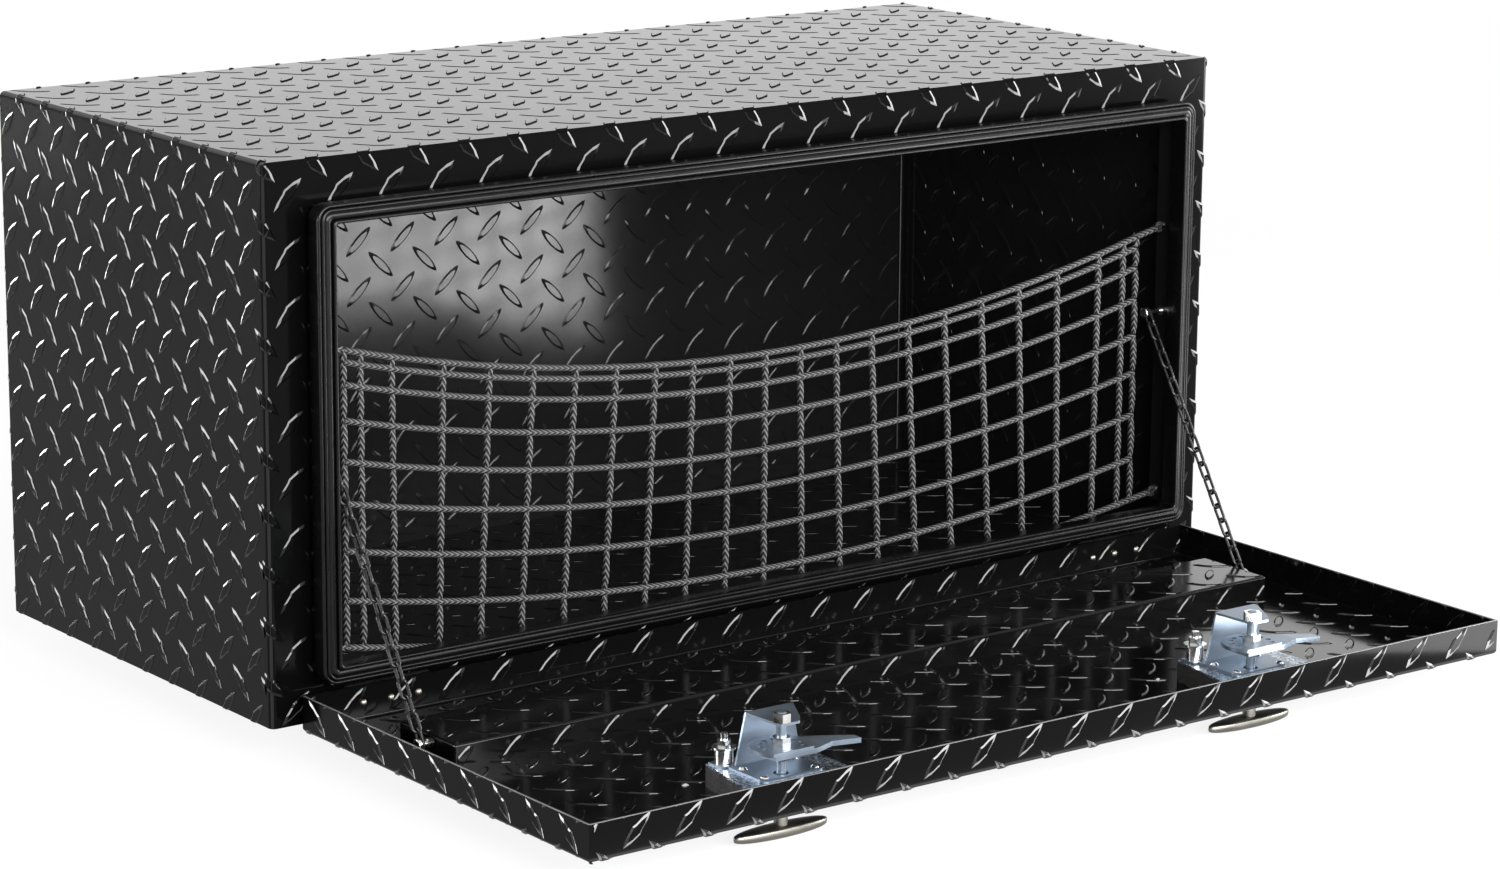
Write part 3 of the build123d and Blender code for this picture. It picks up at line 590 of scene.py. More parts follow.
def folded(piece, flat, radius):
    """Bend the pattern down over two edges, flat metres each side of its middle."""
    quarter = radius * math.pi / 2
    bend_steps = 3
    for step in range(bend_steps + 1):
        for sign in (-1, 1):
            place = (sign * (flat + quarter * step / bend_steps), 0, 0)
            bpy.ops.mesh.select_all(action="SELECT")
            bpy.ops.mesh.bisect(plane_co=place, plane_no=(1, 0, 0))
    bpy.ops.object.mode_set(mode="OBJECT")
    for vertex in piece.data.vertices:
        past = abs(vertex.co.x) - flat
        if past <= 0:
            continue
        sign = math.copysign(1, vertex.co.x)
        out = radius + vertex.co.z
        if past < quarter:
            angle = past / radius
            vertex.co.x = sign * (flat + out * math.sin(angle))
            vertex.co.z = out * math.cos(angle) - radius
        else:
            vertex.co.x = sign * (flat + out)
            vertex.co.z = -radius - (past - quarter)
    bpy.ops.object.mode_set(mode="EDIT")


def tread_field(name, pair, cell, phase, rect, seat, fold):
    """Leaves over a rectangle of a sheet: rect and phase in millimetres on the seat's axes."""
    field = copy_of(pair, name)
    only(field)
    for axis in (0, 1):
        pitch, start = cell[axis], phase[axis] * MM
        low, high = [end * MM for end in rect[axis]]
        first = start + math.floor((low - start) / pitch - 1) * pitch
        along = (1, 0, 0) if axis == 0 else (0, 1, 0)
        field.data.transform(Matrix.Translation([first * part for part in along]))
        rows = field.modifiers.new("rows", "ARRAY")
        rows.use_relative_offset = False
        rows.use_constant_offset = True
        rows.constant_offset_displace = [pitch * part for part in along]
        rows.count = int((high - first) / pitch) + 2
        bpy.ops.object.modifier_apply(modifier=rows.name)
    bpy.ops.object.mode_set(mode="EDIT")
    for axis in (0, 1):
        trim(axis, *(end * MM for end in rect[axis]))
    if fold:
        folded(field, *fold)
    bpy.ops.object.mode_set(mode="OBJECT")
    field.data.transform(seat)
    return field


def seat_on(origin, u, v):
    """Placing of a flat pattern whose axes run along u and v, facing their cross product."""
    u, v = Vector(u), Vector(v)
    rows = Matrix((u, v, u.cross(v))).transposed().to_4x4()
    return Matrix.Translation(Vector(origin) * MM) @ rows


X, Y, Z = (1, 0, 0), (0, 1, 0), (0, 0, 1)
BACKWARD_X, BACKWARD_Y = (-1, 0, 0), (0, -1, 0)


# A plan's rows hold a pattern's name, its pitch letters, a place where a leaf stands, the rectangle
# that it fills, its seat, and the fold round two bends; each stops just short of its neighbours
def body_tread_plan():
    """Outside and inside patterns of the body."""
    flat = HALF_WIDTH - BEND
    bent = flat + BEND * math.pi / 2
    wrap_half = bent + (-BASE - BEND)
    # The front's strips run on round the bends, three millimetres down each side return
    front_half = bent + 3
    fold = (flat * MM, BEND * MM)
    wrap_leaf = (-70.6, 181.2)
    wrap_seat = seat_on((0, 0, 0), X, Y)
    outside = [
        ("top", "xy", wrap_leaf, ((-flat, flat), (FRONT, BACK)), wrap_seat, None),
        ("left_end", "xy", wrap_leaf, ((-wrap_half, -flat), (RETURN_BACK, BACK)), wrap_seat, fold),
        ("right_end", "xy", wrap_leaf, ((flat, wrap_half), (RETURN_BACK, BACK)), wrap_seat, fold),
        (
            "back", "xz", (0, -30), ((-490, 490), (BASE, -3)),
            seat_on((0, BACK, 0), BACKWARD_X, Z), None,
        ),
        (
            "underside", "xy", (0, 0), ((-490, 490), (-212, 212)),
            seat_on((0, 0, BASE), X, BACKWARD_Y), None,
        ),
    ]
    strips = {
        "front_top": ((-front_half, front_half), (HOLE_TOP, -SHEET - 0.2)),
        "front_base": ((-front_half, front_half), (BASE, HOLE_BOTTOM)),
        "front_left": ((-front_half, -HOLE_X), (HOLE_BOTTOM, HOLE_TOP)),
        "front_right": ((HOLE_X, front_half), (HOLE_BOTTOM, HOLE_TOP)),
    }
    outside += [
        (name, "xz", (-472.8, -27.1), rect, seat_on((0, FRONT, 0), X, Z), fold)
        for name, rect in strips.items()
    ]
    wall = HALF_WIDTH - SHEET
    inside = [
        (
            "inner_back", "xz", (-94.3, -168.4), ((-488, 488), (BASE + 6, -6)),
            seat_on((0, BACK - SHEET, 0), X, Z), None,
        ),
        (
            "inner_left", "yz", (20, -168.4), ((-205, 205), (BASE + 20, -8)),
            seat_on((-wall, 0, 0), Y, Z), None,
        ),
        (
            "inner_right", "yz", (-171.0, -50.2), ((-205, 205), (BASE + 20, -8)),
            seat_on((wall, 0, 0), BACKWARD_Y, Z), None,
        ),
        (
            "inner_floor", "xy", (10, 5), ((-488, 488), (-211, 208)),
            seat_on((0, 0, BASE + SHEET), X, Y), None,
        ),
        (
            "inner_top", "xy", (10, 5), ((-486, 486), (-195, 205)),
            seat_on((0, 0, -SHEET), X, BACKWARD_Y), None,
        ),
    ]
    return outside, inside


def door_tread_plan():
    """Outside and inside patterns of the door and its stiffener."""
    skin_x = DOOR_X - DOOR_BEND
    inner_x = DOOR_X - SHEET
    flange_low = DOOR_SKIN + DOOR_BEND
    floor = DOOR_SKIN + SHEET
    # How far a pattern stays off the end of an inner face, and off that of an outer one
    gap = 3
    tip = 1
    flat = DOOR_BACK - DOOR_MIDDLE - DOOR_BEND
    reach = flat + DOOR_BEND * math.pi / 2 + DOOR_RIM - flange_low
    side_reach = reach - flat + skin_x
    stiffener_rows = (gap - STIFFENER_X, STIFFENER_X - gap)
    flange_rows = (floor + gap, DOOR_RIM)
    floor_leaf = (386.0, -445.2)
    floor_seat = seat_on((0, 0, floor), X, Y)
    outside = [
        (
            "skin_and_flanges", "zx", (-193.3, -310.65), ((-reach, reach), (-skin_x, skin_x)),
            seat_on((0, DOOR_MIDDLE, DOOR_SKIN), Y, X), (flat * MM, DOOR_BEND * MM),
        ),
        (
            "left_flange", "zy", (-486.6, 464.9),
            ((-side_reach, -skin_x), (-DOOR_BACK, -DOOR_FRONT - tip)),
            seat_on((0, 0, DOOR_SKIN), X, BACKWARD_Y), (skin_x * MM, DOOR_BEND * MM),
        ),
        (
            "right_flange", "yz", (-443.0, -467.5),
            ((DOOR_FRONT + tip, DOOR_BACK), (flange_low, DOOR_RIM)),
            seat_on((DOOR_X, 0, 0), Y, Z), None,
        ),
    ]
    inside = [
        (
            "floor_back", "xy", floor_leaf,
            ((-inner_x, inner_x), (STIFFENER_BACK, DOOR_BACK - DOOR_BEND)), floor_seat, None,
        ),
        (
            "floor_front", "xy", floor_leaf,
            ((-inner_x, inner_x), (DOOR_FRONT + DOOR_BEND, STIFFENER_FRONT)), floor_seat, None,
        ),
        (
            "inner_front_flange", "xz", (0, -445), ((-inner_x, inner_x), flange_rows),
            seat_on((0, DOOR_FRONT + SHEET, 0), BACKWARD_X, Z), None,
        ),
        (
            "inner_back_flange", "xz", (0, -445), ((-inner_x, inner_x), flange_rows),
            seat_on((0, DOOR_BACK - SHEET, 0), X, Z), None,
        ),
        (
            "inner_left_flange", "yz", (-443.0, -445),
            ((DOOR_FRONT + gap, DOOR_BACK - gap), flange_rows), seat_on((-inner_x, 0, 0), Y, Z), None,
        ),
        (
            "inner_right_flange", "yz", (443.0, -445), ((gap - DOOR_BACK, -DOOR_FRONT - gap), flange_rows),
            seat_on((inner_x, 0, 0), BACKWARD_Y, Z), None,
        ),
        (
            "stiffener_top", "xy", (391.9, -349.2),
            (stiffener_rows, (STIFFENER_FRONT + gap, STIFFENER_BACK - gap)),
            seat_on((0, 0, STIFFENER_TOP), X, Y), None,
        ),
        (
            "stiffener_front", "xz", (380, -452), (stiffener_rows, (floor, STIFFENER_TOP - gap)),
            seat_on((0, STIFFENER_FRONT, 0), X, Z), None,
        ),
    ]
    return outside, inside


def lay_treads(plan, outline, body, coat):
    """Every pattern of a plan as its own piece."""
    settings = bpy.context.scene.tread_settings
    pitch = {"x": settings.pitch_x, "y": settings.pitch_y, "z": settings.pitch_z}
    for name, letters, phase, rect, seat, fold in plan:
        cell = [pitch[letter] for letter in letters]
        # The top's leaves are worn low, and their flanks get a dull black coat as painted shade that
        # outlines each leaf
        worn_and_shade_outlined = name == "top"
        coats = [finishes[coat], finishes["film" if worn_and_shade_outlined else coat + "_flank"]]
        pair = leaf_pair(outline, *cell, coats, *(WORN_FLANK if worn_and_shade_outlined else GENTLE_FLANK))
        piece = tread_field(f"{coat}_treads_{name}", pair, cell, phase, rect, seat, fold)
        bpy.data.objects.remove(pair)
        finished(piece, [], body)


# Seal
def seal_profile():
    """Cross-section of the seal in millimetres: inset from its outer edge, height off the front face."""
    def arc(cx, cy, radius, start, stop, steps):
        return [
            (
                cx + radius * math.cos(math.radians(start + (stop - start) * i / steps)),
                cy + radius * math.sin(math.radians(start + (stop - start) * i / steps)),
            )
            for i in range(steps + 1)
        ]
    points = [(0.6, 9.2), (0.2, 14.0), (0.2, 21.4)]
    points += arc(1.6, 22.6, 1.5, 190, 10, 5)
    points += [(3.3, 21.6)]
    points += arc(4.9, 23.6, 1.5, 190, 0, 5)
    points += [(6.5, 23.0)]
    points += arc(9.2, 22.0, 3.9, 150, 35, 6)
    points += [(12.2, 22.6), (12.5, 25.6)]
    points += arc(13.9, 26.5, 1.4, 160, 0, 5)
    points += [(15.3, 24.0), (15.3, 12.0), (14.4, 9.4), (7.5, 9.2)]
    return points


def ring_grid(name, profile, place, stations):
    """A grid bent into a closed ring: place gives the point for a profile point at a station."""
    deselect()
    bpy.ops.mesh.primitive_grid_add(x_subdivisions=len(profile), y_subdivisions=stations, size=1.0)
    ring = bpy.context.object
    ring.name = name
    across = len(profile) + 1
    for index, vertex in enumerate(ring.data.vertices):
        row, column = divmod(index, across)
        vertex.co = place(profile[column % len(profile)], row % stations)
    bpy.ops.object.mode_set(mode="EDIT")
    bpy.ops.mesh.select_all(action="SELECT")
    bpy.ops.mesh.remove_doubles(threshold=1e-6)
    bpy.ops.mesh.normals_make_consistent(inside=False)
    bpy.ops.object.mode_set(mode="OBJECT")
    return ring


def make_seal():
    """Seal with two outer beads, a wide bead and an inner lip, swept round the opening."""
    corner_steps = 9
    middle = (SEAL_TOP + SEAL_BOTTOM) / 2
    half_height = (SEAL_TOP - SEAL_BOTTOM) / 2

    def place(point, station):
        inset, height = point
        corner, step = divmod(station, corner_steps)
        angle = math.radians(90 * corner + 90 * step / (corner_steps - 1))
        radius = max(SEAL_RADIUS - inset, SEAL_LEAST_RADIUS)
        side_x = 1 if corner in (0, 3) else -1
        side_z = 1 if corner in (0, 1) else -1
        x = side_x * (SEAL_X - inset - radius) + radius * math.cos(angle)
        z = middle + side_z * (half_height - inset - radius) + radius * math.sin(angle)
        return (x * MM, (FRONT - height) * MM, z * MM)

    seal = ring_grid("door_seal_beaded", seal_profile(), place, 4 * corner_steps)
    only(seal)
    bpy.ops.object.shade_smooth_by_angle(angle=math.radians(40))
    finished(seal, [finishes["rubber"]], "cabinet")
    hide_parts("door_seal")


# T-handles, in millimetres: a bar that is flat on top and full at its ends, on a stem sunk in it
HANDLE_HALF = 44.5
HANDLE_DEPTH = 9.5
HANDLE_BASE = -489.2
HANDLE_TOP = -479.2
HANDLE_FULLNESS = 0.45
STEM_RADIUS = 5.5
STEM_TOP = -453.2
STEM_FOOT = HANDLE_TOP - 4


def make_handle(side):
    """Boat-shaped bar on a round stem."""
    deselect()
    bpy.ops.mesh.primitive_uv_sphere_add(segments=40, ring_count=20, radius=1.0)
    bar = bpy.context.object
    for vertex in bar.data.vertices:
        vertex.co.z = math.copysign(abs(vertex.co.z) ** HANDLE_FULLNESS, vertex.co.z)
    bar.data.transform(Matrix.Diagonal((
        HANDLE_HALF * MM, HANDLE_DEPTH * MM, (HANDLE_TOP - HANDLE_BASE) / 2 * MM, 1,
    )))
    bar.data.transform(Matrix.Translation(
        Vector((LATCH_X[side], LATCH_Y, (HANDLE_TOP + HANDLE_BASE) / 2)) * MM
    ))
    deselect()
    bpy.ops.mesh.primitive_cylinder_add(
        vertices=24, radius=STEM_RADIUS * MM, depth=(STEM_TOP - STEM_FOOT) * MM,
    )
    stem = bpy.context.object
    stem.data.transform(Matrix.Translation(
        Vector((LATCH_X[side], LATCH_Y, (STEM_TOP + STEM_FOOT) / 2)) * MM
    ))
    handle = joined([bar, stem], f"paddle_handle_{side}")
    bpy.ops.object.shade_smooth_by_angle(angle=math.radians(60))
    finished(handle, [finishes["nickel"]], f"latch_{side}")
    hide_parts(f"t_handle_{side}")


# Painted highlights on rims and bends: where their lines run, in millimetres
LIP_X = 486.5
LIP_Y = 211.8
LIP_INSET = 9.6
RIM_X = DOOR_X - 1.0
RIM_FRONT = DOOR_FRONT + 1.0
RIM_BACK = DOOR_BACK - 0.6
RIM_Z = DOOR_RIM - 0.4
CHANNEL_X = 430
CHANNEL_INSET = 1.7
CHANNEL_EDGE = (STIFFENER_FRONT + CHANNEL_INSET, STIFFENER_TOP - CHANNEL_INSET)
# The body that each piece rides, its lines' radius and their ends
EDGE_LINES = {
    "back_lip_edges": ("cabinet", 0.55, [
        ((x, LIP_Y, BASE + LIP_INSET), (x, LIP_Y, -LIP_INSET)) for x in (-LIP_X, LIP_X)
    ]),
    "door_rim_edges": ("door", 1.0, [
        ((-RIM_X, RIM_FRONT, RIM_Z), (RIM_X, RIM_FRONT, RIM_Z)),
        ((-RIM_X, RIM_BACK, RIM_Z), (-RIM_X, RIM_FRONT, RIM_Z)),
        ((RIM_X, RIM_BACK, RIM_Z), (RIM_X, RIM_FRONT, RIM_Z)),
    ]),
    "stiffener_edge": ("door", 0.8, [((-CHANNEL_X, *CHANNEL_EDGE), (CHANNEL_X, *CHANNEL_EDGE))]),
}
# Share of a line's radius that its ends are rounded by
END_ROUNDING = 0.6


def make_edge_lines():
    """Painted highlights on the folded sheets' rims and bends, each a thin grey round line half sunk in its
    sheet.
    """
    for name, (body, radius, runs) in EDGE_LINES.items():
        lines = []
        for start, end in runs:
            start, end = Vector(start), Vector(end)
            deselect()
            bpy.ops.mesh.primitive_cylinder_add(
                vertices=10, radius=radius * MM, depth=(end - start).length * MM,
            )
            line = bpy.context.object
            ends = line.modifiers.new("rounded_ends", "BEVEL")
            ends.limit_method = "ANGLE"
            ends.angle_limit = math.radians(60)
            ends.width = radius * END_ROUNDING * MM
            ends.segments = 2
            bpy.ops.object.modifier_apply(modifier=ends.name)
            turn = (end - start).to_track_quat("Z", "Y").to_matrix().to_4x4()
            line.data.transform(Matrix.Translation((start + end) / 2 * MM) @ turn)
            lines.append(line)
        edge = joined(lines, name)
        bpy.ops.object.shade_smooth_by_angle(angle=math.radians(50))
        finished(edge, [finishes["edge"]], body)


# Cargo net, in millimetres: half its width, its plane, and the heights above the base of the top
# and the bottom row's ends, with the sag between them
NET_HALF = 420.0
NET_Y = -208.9
TOP_ENDS, TOP_SAG = 299.0, 55.0
LOW_ENDS, LOW_SAG = 54.0, 36.0
# Each column's place in the top and the bottom row, as a share of the half width, and each row's
# place between those two rows
TOP_SHARES = (0, 0.089, 0.181, 0.274, 0.37, 0.467, 0.567, 0.669, 0.776, 0.893, 0.963, 1)
LOW_SHARES = (0, 0.1, 0.201, 0.302, 0.402, 0.5, 0.6, 0.695, 0.79, 0.89, 0.962, 1)
ROW_SHARES = (0, 0.04, 0.115, 0.235, 0.372, 0.513, 0.673, 0.841, 1)
# Height above the base of each eye on its hook, and the row that its tail comes from
EYES = ((305.0, 0), (58.0, 1))
HOOK_X = 447.6
EYE_RADIUS = 3.65
EYE_CORD_RADIUS = 1.5
# Cord's thickness between knots as shares of its full one, and how far it weaves out of the plane
ROW_STATIONS = 210
ROW_SHARE = 0.86
KNOT_HALF = 4.5
KNOT_RISE = 0.3
COLUMN_STEP = 4
COLUMN_SHARE = 0.62
COLUMN_SWELL = 0.36
COLUMN_SINK = 0.9
COLUMN_RISE = 1.2


def net_height(share, row):
    """Height of a row's cord at a share of the half width."""
    high = TOP_ENDS - TOP_SAG * (1 - share**2)
    low = LOW_ENDS - LOW_SAG * (1 - share**2)
    return BASE + high + row * (low - high)


def column_x(number, sign, row):
    """Where a column crosses a row."""
    return sign * NET_HALF * (TOP_SHARES[number] + row * (LOW_SHARES[number] - TOP_SHARES[number]))


def cord_tube(name, points, radii, twist):
    """A grid rolled into a tube along points, whose map is its length in crossings and its turn."""
    around = 10
    deselect()
    bpy.ops.mesh.primitive_grid_add(
        x_subdivisions=around, y_subdivisions=len(points) - 1, size=1.0, calc_uvs=True,
    )
    tube = bpy.context.object
    tube.name = name
    lengths = [0.0]
    for a, b in zip(points, points[1:]):
        lengths.append(lengths[-1] + (b - a).length)
    for index, vertex in enumerate(tube.data.vertices):
        row, column = divmod(index, around + 1)
        ahead = points[min(row + 1, len(points) - 1)] - points[max(row - 1, 0)]
        ahead.normalize()
        out = Vector((0, -1, 0))
        across = ahead.cross(out).normalized()
        out = across.cross(ahead).normalized()
        angle = 2 * math.pi * column / around
        vertex.co = MM * (
            points[row] + radii[row] * (math.cos(angle) * out + math.sin(angle) * across)
        )
    mapped = tube.data.uv_layers[0]
    mapped.name = "cord"
    pitch = bpy.context.scene.net_settings.braid / MM
    for loop, corner in zip(tube.data.loops, mapped.data):
        row, column = divmod(loop.vertex_index, around + 1)
        corner.uv = (lengths[row] / pitch, column / around + twist)
    bpy.ops.object.mode_set(mode="EDIT")
    bpy.ops.mesh.select_all(action="SELECT")
    bpy.ops.mesh.remove_doubles(threshold=1e-6)
    bpy.ops.mesh.select_all(action="DESELECT")
    bpy.ops.mesh.select_non_manifold()
    bpy.ops.mesh.edge_face_add()
    bpy.ops.mesh.select_all(action="SELECT")
    bpy.ops.mesh.normals_make_consistent(inside=False)
    bpy.ops.object.mode_set(mode="OBJECT")
    bpy.ops.object.shade_smooth()
    return tube


def make_net():
    """Rows with columns threaded through them, swollen where they cross, and an eye on each hook."""
    radius = bpy.context.scene.net_settings.cord / MM / 2
    cords = []
    columns = [
        (number, sign) for number in range(len(TOP_SHARES)) for sign in ((1, -1) if number else (1,))
    ]
    for share in ROW_SHARES:
        crossings = [column_x(number, sign, share) for number, sign in columns]
        points, radii = [], []
        for i in range(ROW_STATIONS + 1):
            x = -NET_HALF + 2 * NET_HALF * i / ROW_STATIONS
            near = min(abs(x - c) for c in crossings)
            swell = math.exp(-((near / KNOT_HALF) ** 2))
            points.append(Vector((x, NET_Y - KNOT_RISE * swell, net_height(x / NET_HALF, share))))
            radii.append(radius * (ROW_SHARE + (1 - ROW_SHARE) * swell))
        cords.append(cord_tube("net_row", points, radii, 0.0))
    for number, sign in columns:
        knots = []
        for share in ROW_SHARES:
            x = column_x(number, sign, share)
            knots.append(Vector((x, 0, net_height(x / NET_HALF, share))))
        points, radii = [], []
        for above, below in zip(knots, knots[1:]):
            steps = max(4, int((above - below).length / COLUMN_STEP))
            for i in range(steps):
                t = i / steps
                belly = math.sin(math.pi * t) ** 0.6
                place = above.lerp(below, t)
                place.y = NET_Y + COLUMN_SINK - COLUMN_RISE * belly
                points.append(place)
                radii.append(radius * (COLUMN_SHARE + COLUMN_SWELL * belly))
        points.append(Vector((knots[-1].x, NET_Y + COLUMN_SINK, knots[-1].z)))
        radii.append(radius * COLUMN_SHARE)
        cords.append(cord_tube("net_column", points, radii, 0.125))
    for sign in (-1, 1):
        for height, row in EYES:
            hook = Vector((sign * HOOK_X, NET_Y, BASE + height))
            start = Vector((sign * NET_HALF, NET_Y, net_height(1, row)))
            way = (hook - start).normalized()
            # The tail stops just past the eye's outer edge
            stop = hook - way * 4.2
            run = [start.lerp(stop, i / 6) for i in range(7)]
            cords.append(cord_tube("net_tail", run, [radius * 0.9] * len(run), 0.0))
            deselect()
            bpy.ops.mesh.primitive_torus_add(
                location=hook * MM, rotation=(math.pi / 2, 0, 0), major_radius=EYE_RADIUS * MM,
                minor_radius=EYE_CORD_RADIUS * MM, major_segments=20, minor_segments=8,
                generate_uvs=True,
            )
            eye = bpy.context.object
            bpy.ops.object.transform_apply()
            eye.data.uv_layers[0].name = "cord"
            # Nine crossings of the braid round the eye
            for corner in eye.data.uv_layers[0].data:
                corner.uv = (corner.uv[0] * 9, corner.uv[1])
            bpy.ops.object.shade_smooth()
            cords.append(eye)
    net = joined(cords, "cargo_net_braided")
    finished(net, [finishes["cord"]], "cabinet")
    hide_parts("cargo_net")


# Studio: the camera's place in millimetres, its turns in radians and its lens
CAMERA_PLACE = (-2216.84, -3126.28, 586.43)
CAMERA_YAW, CAMERA_PITCH, CAMERA_ROLL = 0.64644, -0.23337, -0.00763
CAMERA_LENS = 105.82
# Lamps that face the box, in metres: name, middle, size, radiance and the point that they face
WALL_LAMPS = (
    ("front_strip", (-0.2, -3.0, 0.62), (3.4, 1.45), 20, (0.1, -0.22, -0.2)),
    ("right_strip", (2.7, -1.45, 0.16), (1.7, 1.28), 20, (0, -0.3, -0.25)),
    ("left_strip", (-2.45, 1.1, 0.1), (1.3, 1.0), 22, (-0.5, 0, -0.25)),
    ("behind_left", (-0.85, 1.9, -0.2), (0.65, 0.56), 22, (-0.5, 0, -0.25)),
    ("behind_top", (2.1, 3.0, 0.5), (3.4, 1.1), 0.82, (0, 0, 0)),
)
# Lamps that lie on the floor and face up: name, middle, size, radiance and turn
FLOOR_LAMPS = (
    ("floor_panel", (0.86, -1.19, -0.487), (0.5, 1.18), 19, math.atan2(-0.555, -0.83)),
    ("floor_strip", (0.12, -0.66, -0.487), (1.3, 0.062), 6, 0),
)
FLOOR_GAP = 0.0005


def make_camera():
    """Camera at the photograph's viewing angle."""
    bpy.ops.object.camera_add()
    camera = bpy.context.object
    camera.data.lens = CAMERA_LENS
    camera.data.sensor_width = 36.0
    camera.data.clip_end = 100.0
    yaw, pitch, roll = CAMERA_YAW, CAMERA_PITCH, CAMERA_ROLL
    ahead = Vector((
        math.sin(yaw) * math.cos(pitch), math.cos(yaw) * math.cos(pitch), math.sin(pitch),
    ))
    level = Vector((math.cos(yaw), -math.sin(yaw), 0))
    down = ahead.cross(level)
    right = math.cos(roll) * level + math.sin(roll) * down
    lower = -math.sin(roll) * level + math.cos(roll) * down
    turn = Matrix((right, -lower, -ahead)).transposed().to_4x4()
    camera.matrix_world = Matrix.Translation(Vector(CAMERA_PLACE) * MM) @ turn
    bpy.context.scene.camera = camera


def softbox(name, middle, size, radiance, turn):
    """Area lamp at middle, turned as given and hidden from the camera."""
    bpy.ops.object.light_add(type="AREA", location=middle)
    lamp = bpy.context.object
    lamp.name = name
    lamp.data.shape = "RECTANGLE"
    lamp.data.size, lamp.data.size_y = size
    lamp.data.energy = radiance * math.pi * size[0] * size[1]
    lamp.rotation_euler = turn
    lamp.visible_camera = False


def seen_white(tree):
    """1 for rays from the camera, mirrors and clear things, else 0."""
    path = add_node(tree, "ShaderNodeLightPath")
    either = add_node(
        tree, "ShaderNodeMath", {"operation": "MAXIMUM"},
        {0: path.outputs["Is Camera Ray"], 1: path.outputs["Is Glossy Ray"]},
    )
    return add_node(
        tree, "ShaderNodeMath", {"operation": "MAXIMUM"},
        {0: either.outputs[0], 1: path.outputs["Is Transmission Ray"]},
    )


def make_floor(lowest):
    """Pale floor under the lowest point, nearly white to the eye, keeping the shadow."""
    size = bpy.context.scene.stage_settings.floor_size
    bpy.ops.mesh.primitive_plane_add(size=size, location=(0, 0, lowest - FLOOR_GAP))
    floor = bpy.context.object
    floor.name = "studio_floor"
    material, tree, shader = new_material("pale_studio_paper", "#e6e6e6", specular=0.0)
    shader.inputs["Roughness"].default_value = 0.9
    white = add_node(tree, "ShaderNodeEmission", {"Strength": 1.0})
    place = add_node(tree, "ShaderNodeTexCoord")
    away = add_node(tree, "ShaderNodeVectorMath", {"operation": "LENGTH"}, {0: place.outputs["Object"]})
    # Shadows fade out from 0.9 m to 2.6 m off the middle
    fade = add_node(
        tree, "ShaderNodeMapRange", {
            "From Min": 0.9, "From Max": 2.6, "To Min": 0.86, "To Max": 1.0,
            "interpolation_type": "SMOOTHSTEP",
        },
        {"Value": away.outputs["Value"]},
    )
    share = add_node(
        tree, "ShaderNodeMath", {"operation": "MULTIPLY"},
        {0: fade.outputs["Result"], 1: seen_white(tree).outputs[0]},
    )
    mix = add_node(
        tree, "ShaderNodeMixShader",
        links={0: share.outputs[0], 1: shader.outputs[0], 2: white.outputs[0]},
    )
    tree.links.new(mix.outputs[0], tree.nodes["Material Output"].inputs["Surface"])
    floor.data.materials.append(material)


def make_world():
    """White to the eye and to mirrors, and a low fill for the rest."""
    world = bpy.data.worlds.new("studio")
    world.use_nodes = True
    bpy.context.scene.world = world
    tree = world.node_tree
    back = tree.nodes["Background"]
    strength = add_node(
        tree, "ShaderNodeMapRange", {"To Min": 0.35, "To Max": 1.0},
        {"Value": seen_white(tree).outputs[0]},
    )
    tree.links.new(strength.outputs["Result"], back.inputs["Strength"])
    back.inputs["Color"].default_value = (1, 1, 1, 1)


def make_lamps():
    """A long box in front, one at each side, two behind, and two on the floor for the inside."""
    for name, middle, size, radiance, target in WALL_LAMPS:
        ahead = Vector(target) - Vector(middle)
        softbox(name, middle, size, radiance, ahead.to_track_quat("-Z", "Y").to_euler())
    for name, middle, size, radiance, turn in FLOOR_LAMPS:
        softbox(name, middle, size, radiance, (math.pi, 0, turn))


# Operators, one for each piece or group of like pieces, and one for the stage
class TOOLBOX_OT_finishes(bpy.types.Operator):
    """Make the materials and give them to the carried-over nodes"""

    bl_idname = "toolbox.finishes"
    bl_label = "Finishes"

    def execute(self, context):
        make_finishes()
        for finish, names in NODE_FINISHES.items():
            for name in names:
                nodes[name].data.materials.clear()
                nodes[name].data.materials.append(finishes[finish])
        return {"FINISHED"}


class TOOLBOX_OT_body_treads(bpy.types.Operator):
    """Raise the tread pattern on the body's sheets"""

    bl_idname = "toolbox.body_treads"
    bl_label = "Body treads"

    def execute(self, context):
        outside, inside = body_tread_plan()
        lay_treads(outside, sharp_leaf(), "cabinet", "body")
        lay_treads(inside, lens_leaf(), "cabinet", "body")
        return {"FINISHED"}


class TOOLBOX_OT_door_treads(bpy.types.Operator):
    """Raise the tread pattern on the door and its stiffener"""

    bl_idname = "toolbox.door_treads"
    bl_label = "Door treads"

    def execute(self, context):
        outside, inside = door_tread_plan()
        lay_treads(outside, sharp_leaf(), "door", "door")
        lay_treads(inside, lens_leaf(), "door", "door")
        return {"FINISHED"}


class TOOLBOX_OT_seal(bpy.types.Operator):
    """Sweep the beaded rubber seal round the opening"""

    bl_idname = "toolbox.seal"
    bl_label = "Door seal"

    def execute(self, context):
        make_seal()
        return {"FINISHED"}


class TOOLBOX_OT_handles(bpy.types.Operator):
    """Shape the bar and the stem of each T-handle"""

    bl_idname = "toolbox.handles"
    bl_label = "T-handles"

    def execute(self, context):
        for side in LATCH_X:
            make_handle(side)
        return {"FINISHED"}


class TOOLBOX_OT_edge_lines(bpy.types.Operator):
    """Draw the painted highlights along rims and corners"""

    bl_idname = "toolbox.edge_lines"
    bl_label = "Painted edge highlights"

    def execute(self, context):
        make_edge_lines()
        return {"FINISHED"}


class TOOLBOX_OT_net(bpy.types.Operator):
    """Hang the braided cargo net"""

    bl_idname = "toolbox.net"
    bl_label = "Cargo net"

    def execute(self, context):
        make_net()
        return {"FINISHED"}


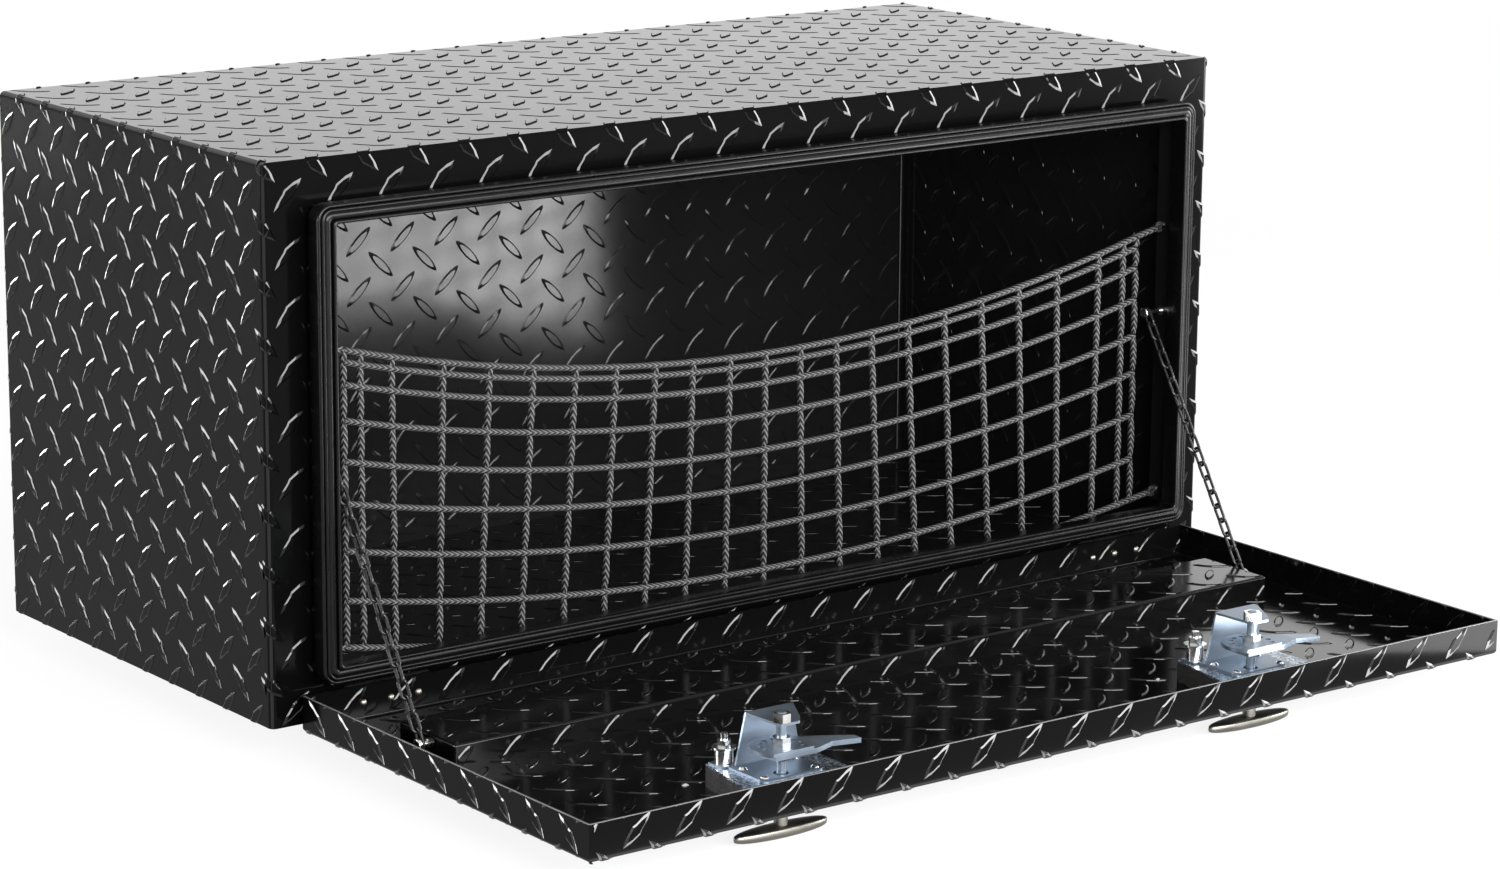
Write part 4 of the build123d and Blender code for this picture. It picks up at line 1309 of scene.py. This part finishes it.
class TOOLBOX_OT_stage(bpy.types.Operator):
    """Set up the floor, the backdrop, the lamps and the camera"""

    bl_idname = "toolbox.stage"
    bl_label = "Studio"

    def execute(self, context):
        deselect()
        make_floor(cad_box[0].z)
        make_world()
        make_lamps()
        make_camera()
        return {"FINISHED"}


# The operators in their order
STEPS = (
    "stage", "finishes", "body_treads", "door_treads", "seal", "handles", "edge_lines", "net",
)


class TOOLBOX_PT_panel(bpy.types.Panel):
    """Lists the steps that dress the tool box"""

    bl_idname = "TOOLBOX_PT_panel"
    bl_label = "Tool Box"
    bl_space_type = "VIEW_3D"
    bl_region_type = "UI"
    bl_category = "Tool Box"

    def draw(self, context):
        for settings in (
            context.scene.tread_settings, context.scene.net_settings,
            context.scene.finish_settings, context.scene.stage_settings,
        ):
            for key in settings.__annotations__:
                self.layout.prop(settings, key)
        for step in STEPS:
            self.layout.operator(f"toolbox.{step}")


CLASSES = (
    TreadSettings, NetSettings, FinishSettings, StageSettings, TOOLBOX_OT_finishes,
    TOOLBOX_OT_body_treads, TOOLBOX_OT_door_treads, TOOLBOX_OT_seal, TOOLBOX_OT_handles,
    TOOLBOX_OT_edge_lines, TOOLBOX_OT_net, TOOLBOX_OT_stage, TOOLBOX_PT_panel,
)


def register():
    for cls in CLASSES:
        bpy.utils.register_class(cls)
    bpy.types.Scene.tread_settings = bpy.props.PointerProperty(type=TreadSettings)
    bpy.types.Scene.net_settings = bpy.props.PointerProperty(type=NetSettings)
    bpy.types.Scene.finish_settings = bpy.props.PointerProperty(type=FinishSettings)
    bpy.types.Scene.stage_settings = bpy.props.PointerProperty(type=StageSettings)


def unregister():
    for name in ("tread_settings", "net_settings", "finish_settings", "stage_settings"):
        delattr(bpy.types.Scene, name)
    for cls in reversed(CLASSES):
        bpy.utils.unregister_class(cls)


def main():
    """Run every step in order."""
    register()
    bpy.context.scene.view_settings.view_transform = "Standard"
    for step in STEPS:
        getattr(bpy.ops.toolbox, step)()
    deselect()


if __name__ == "__main__":
    main()
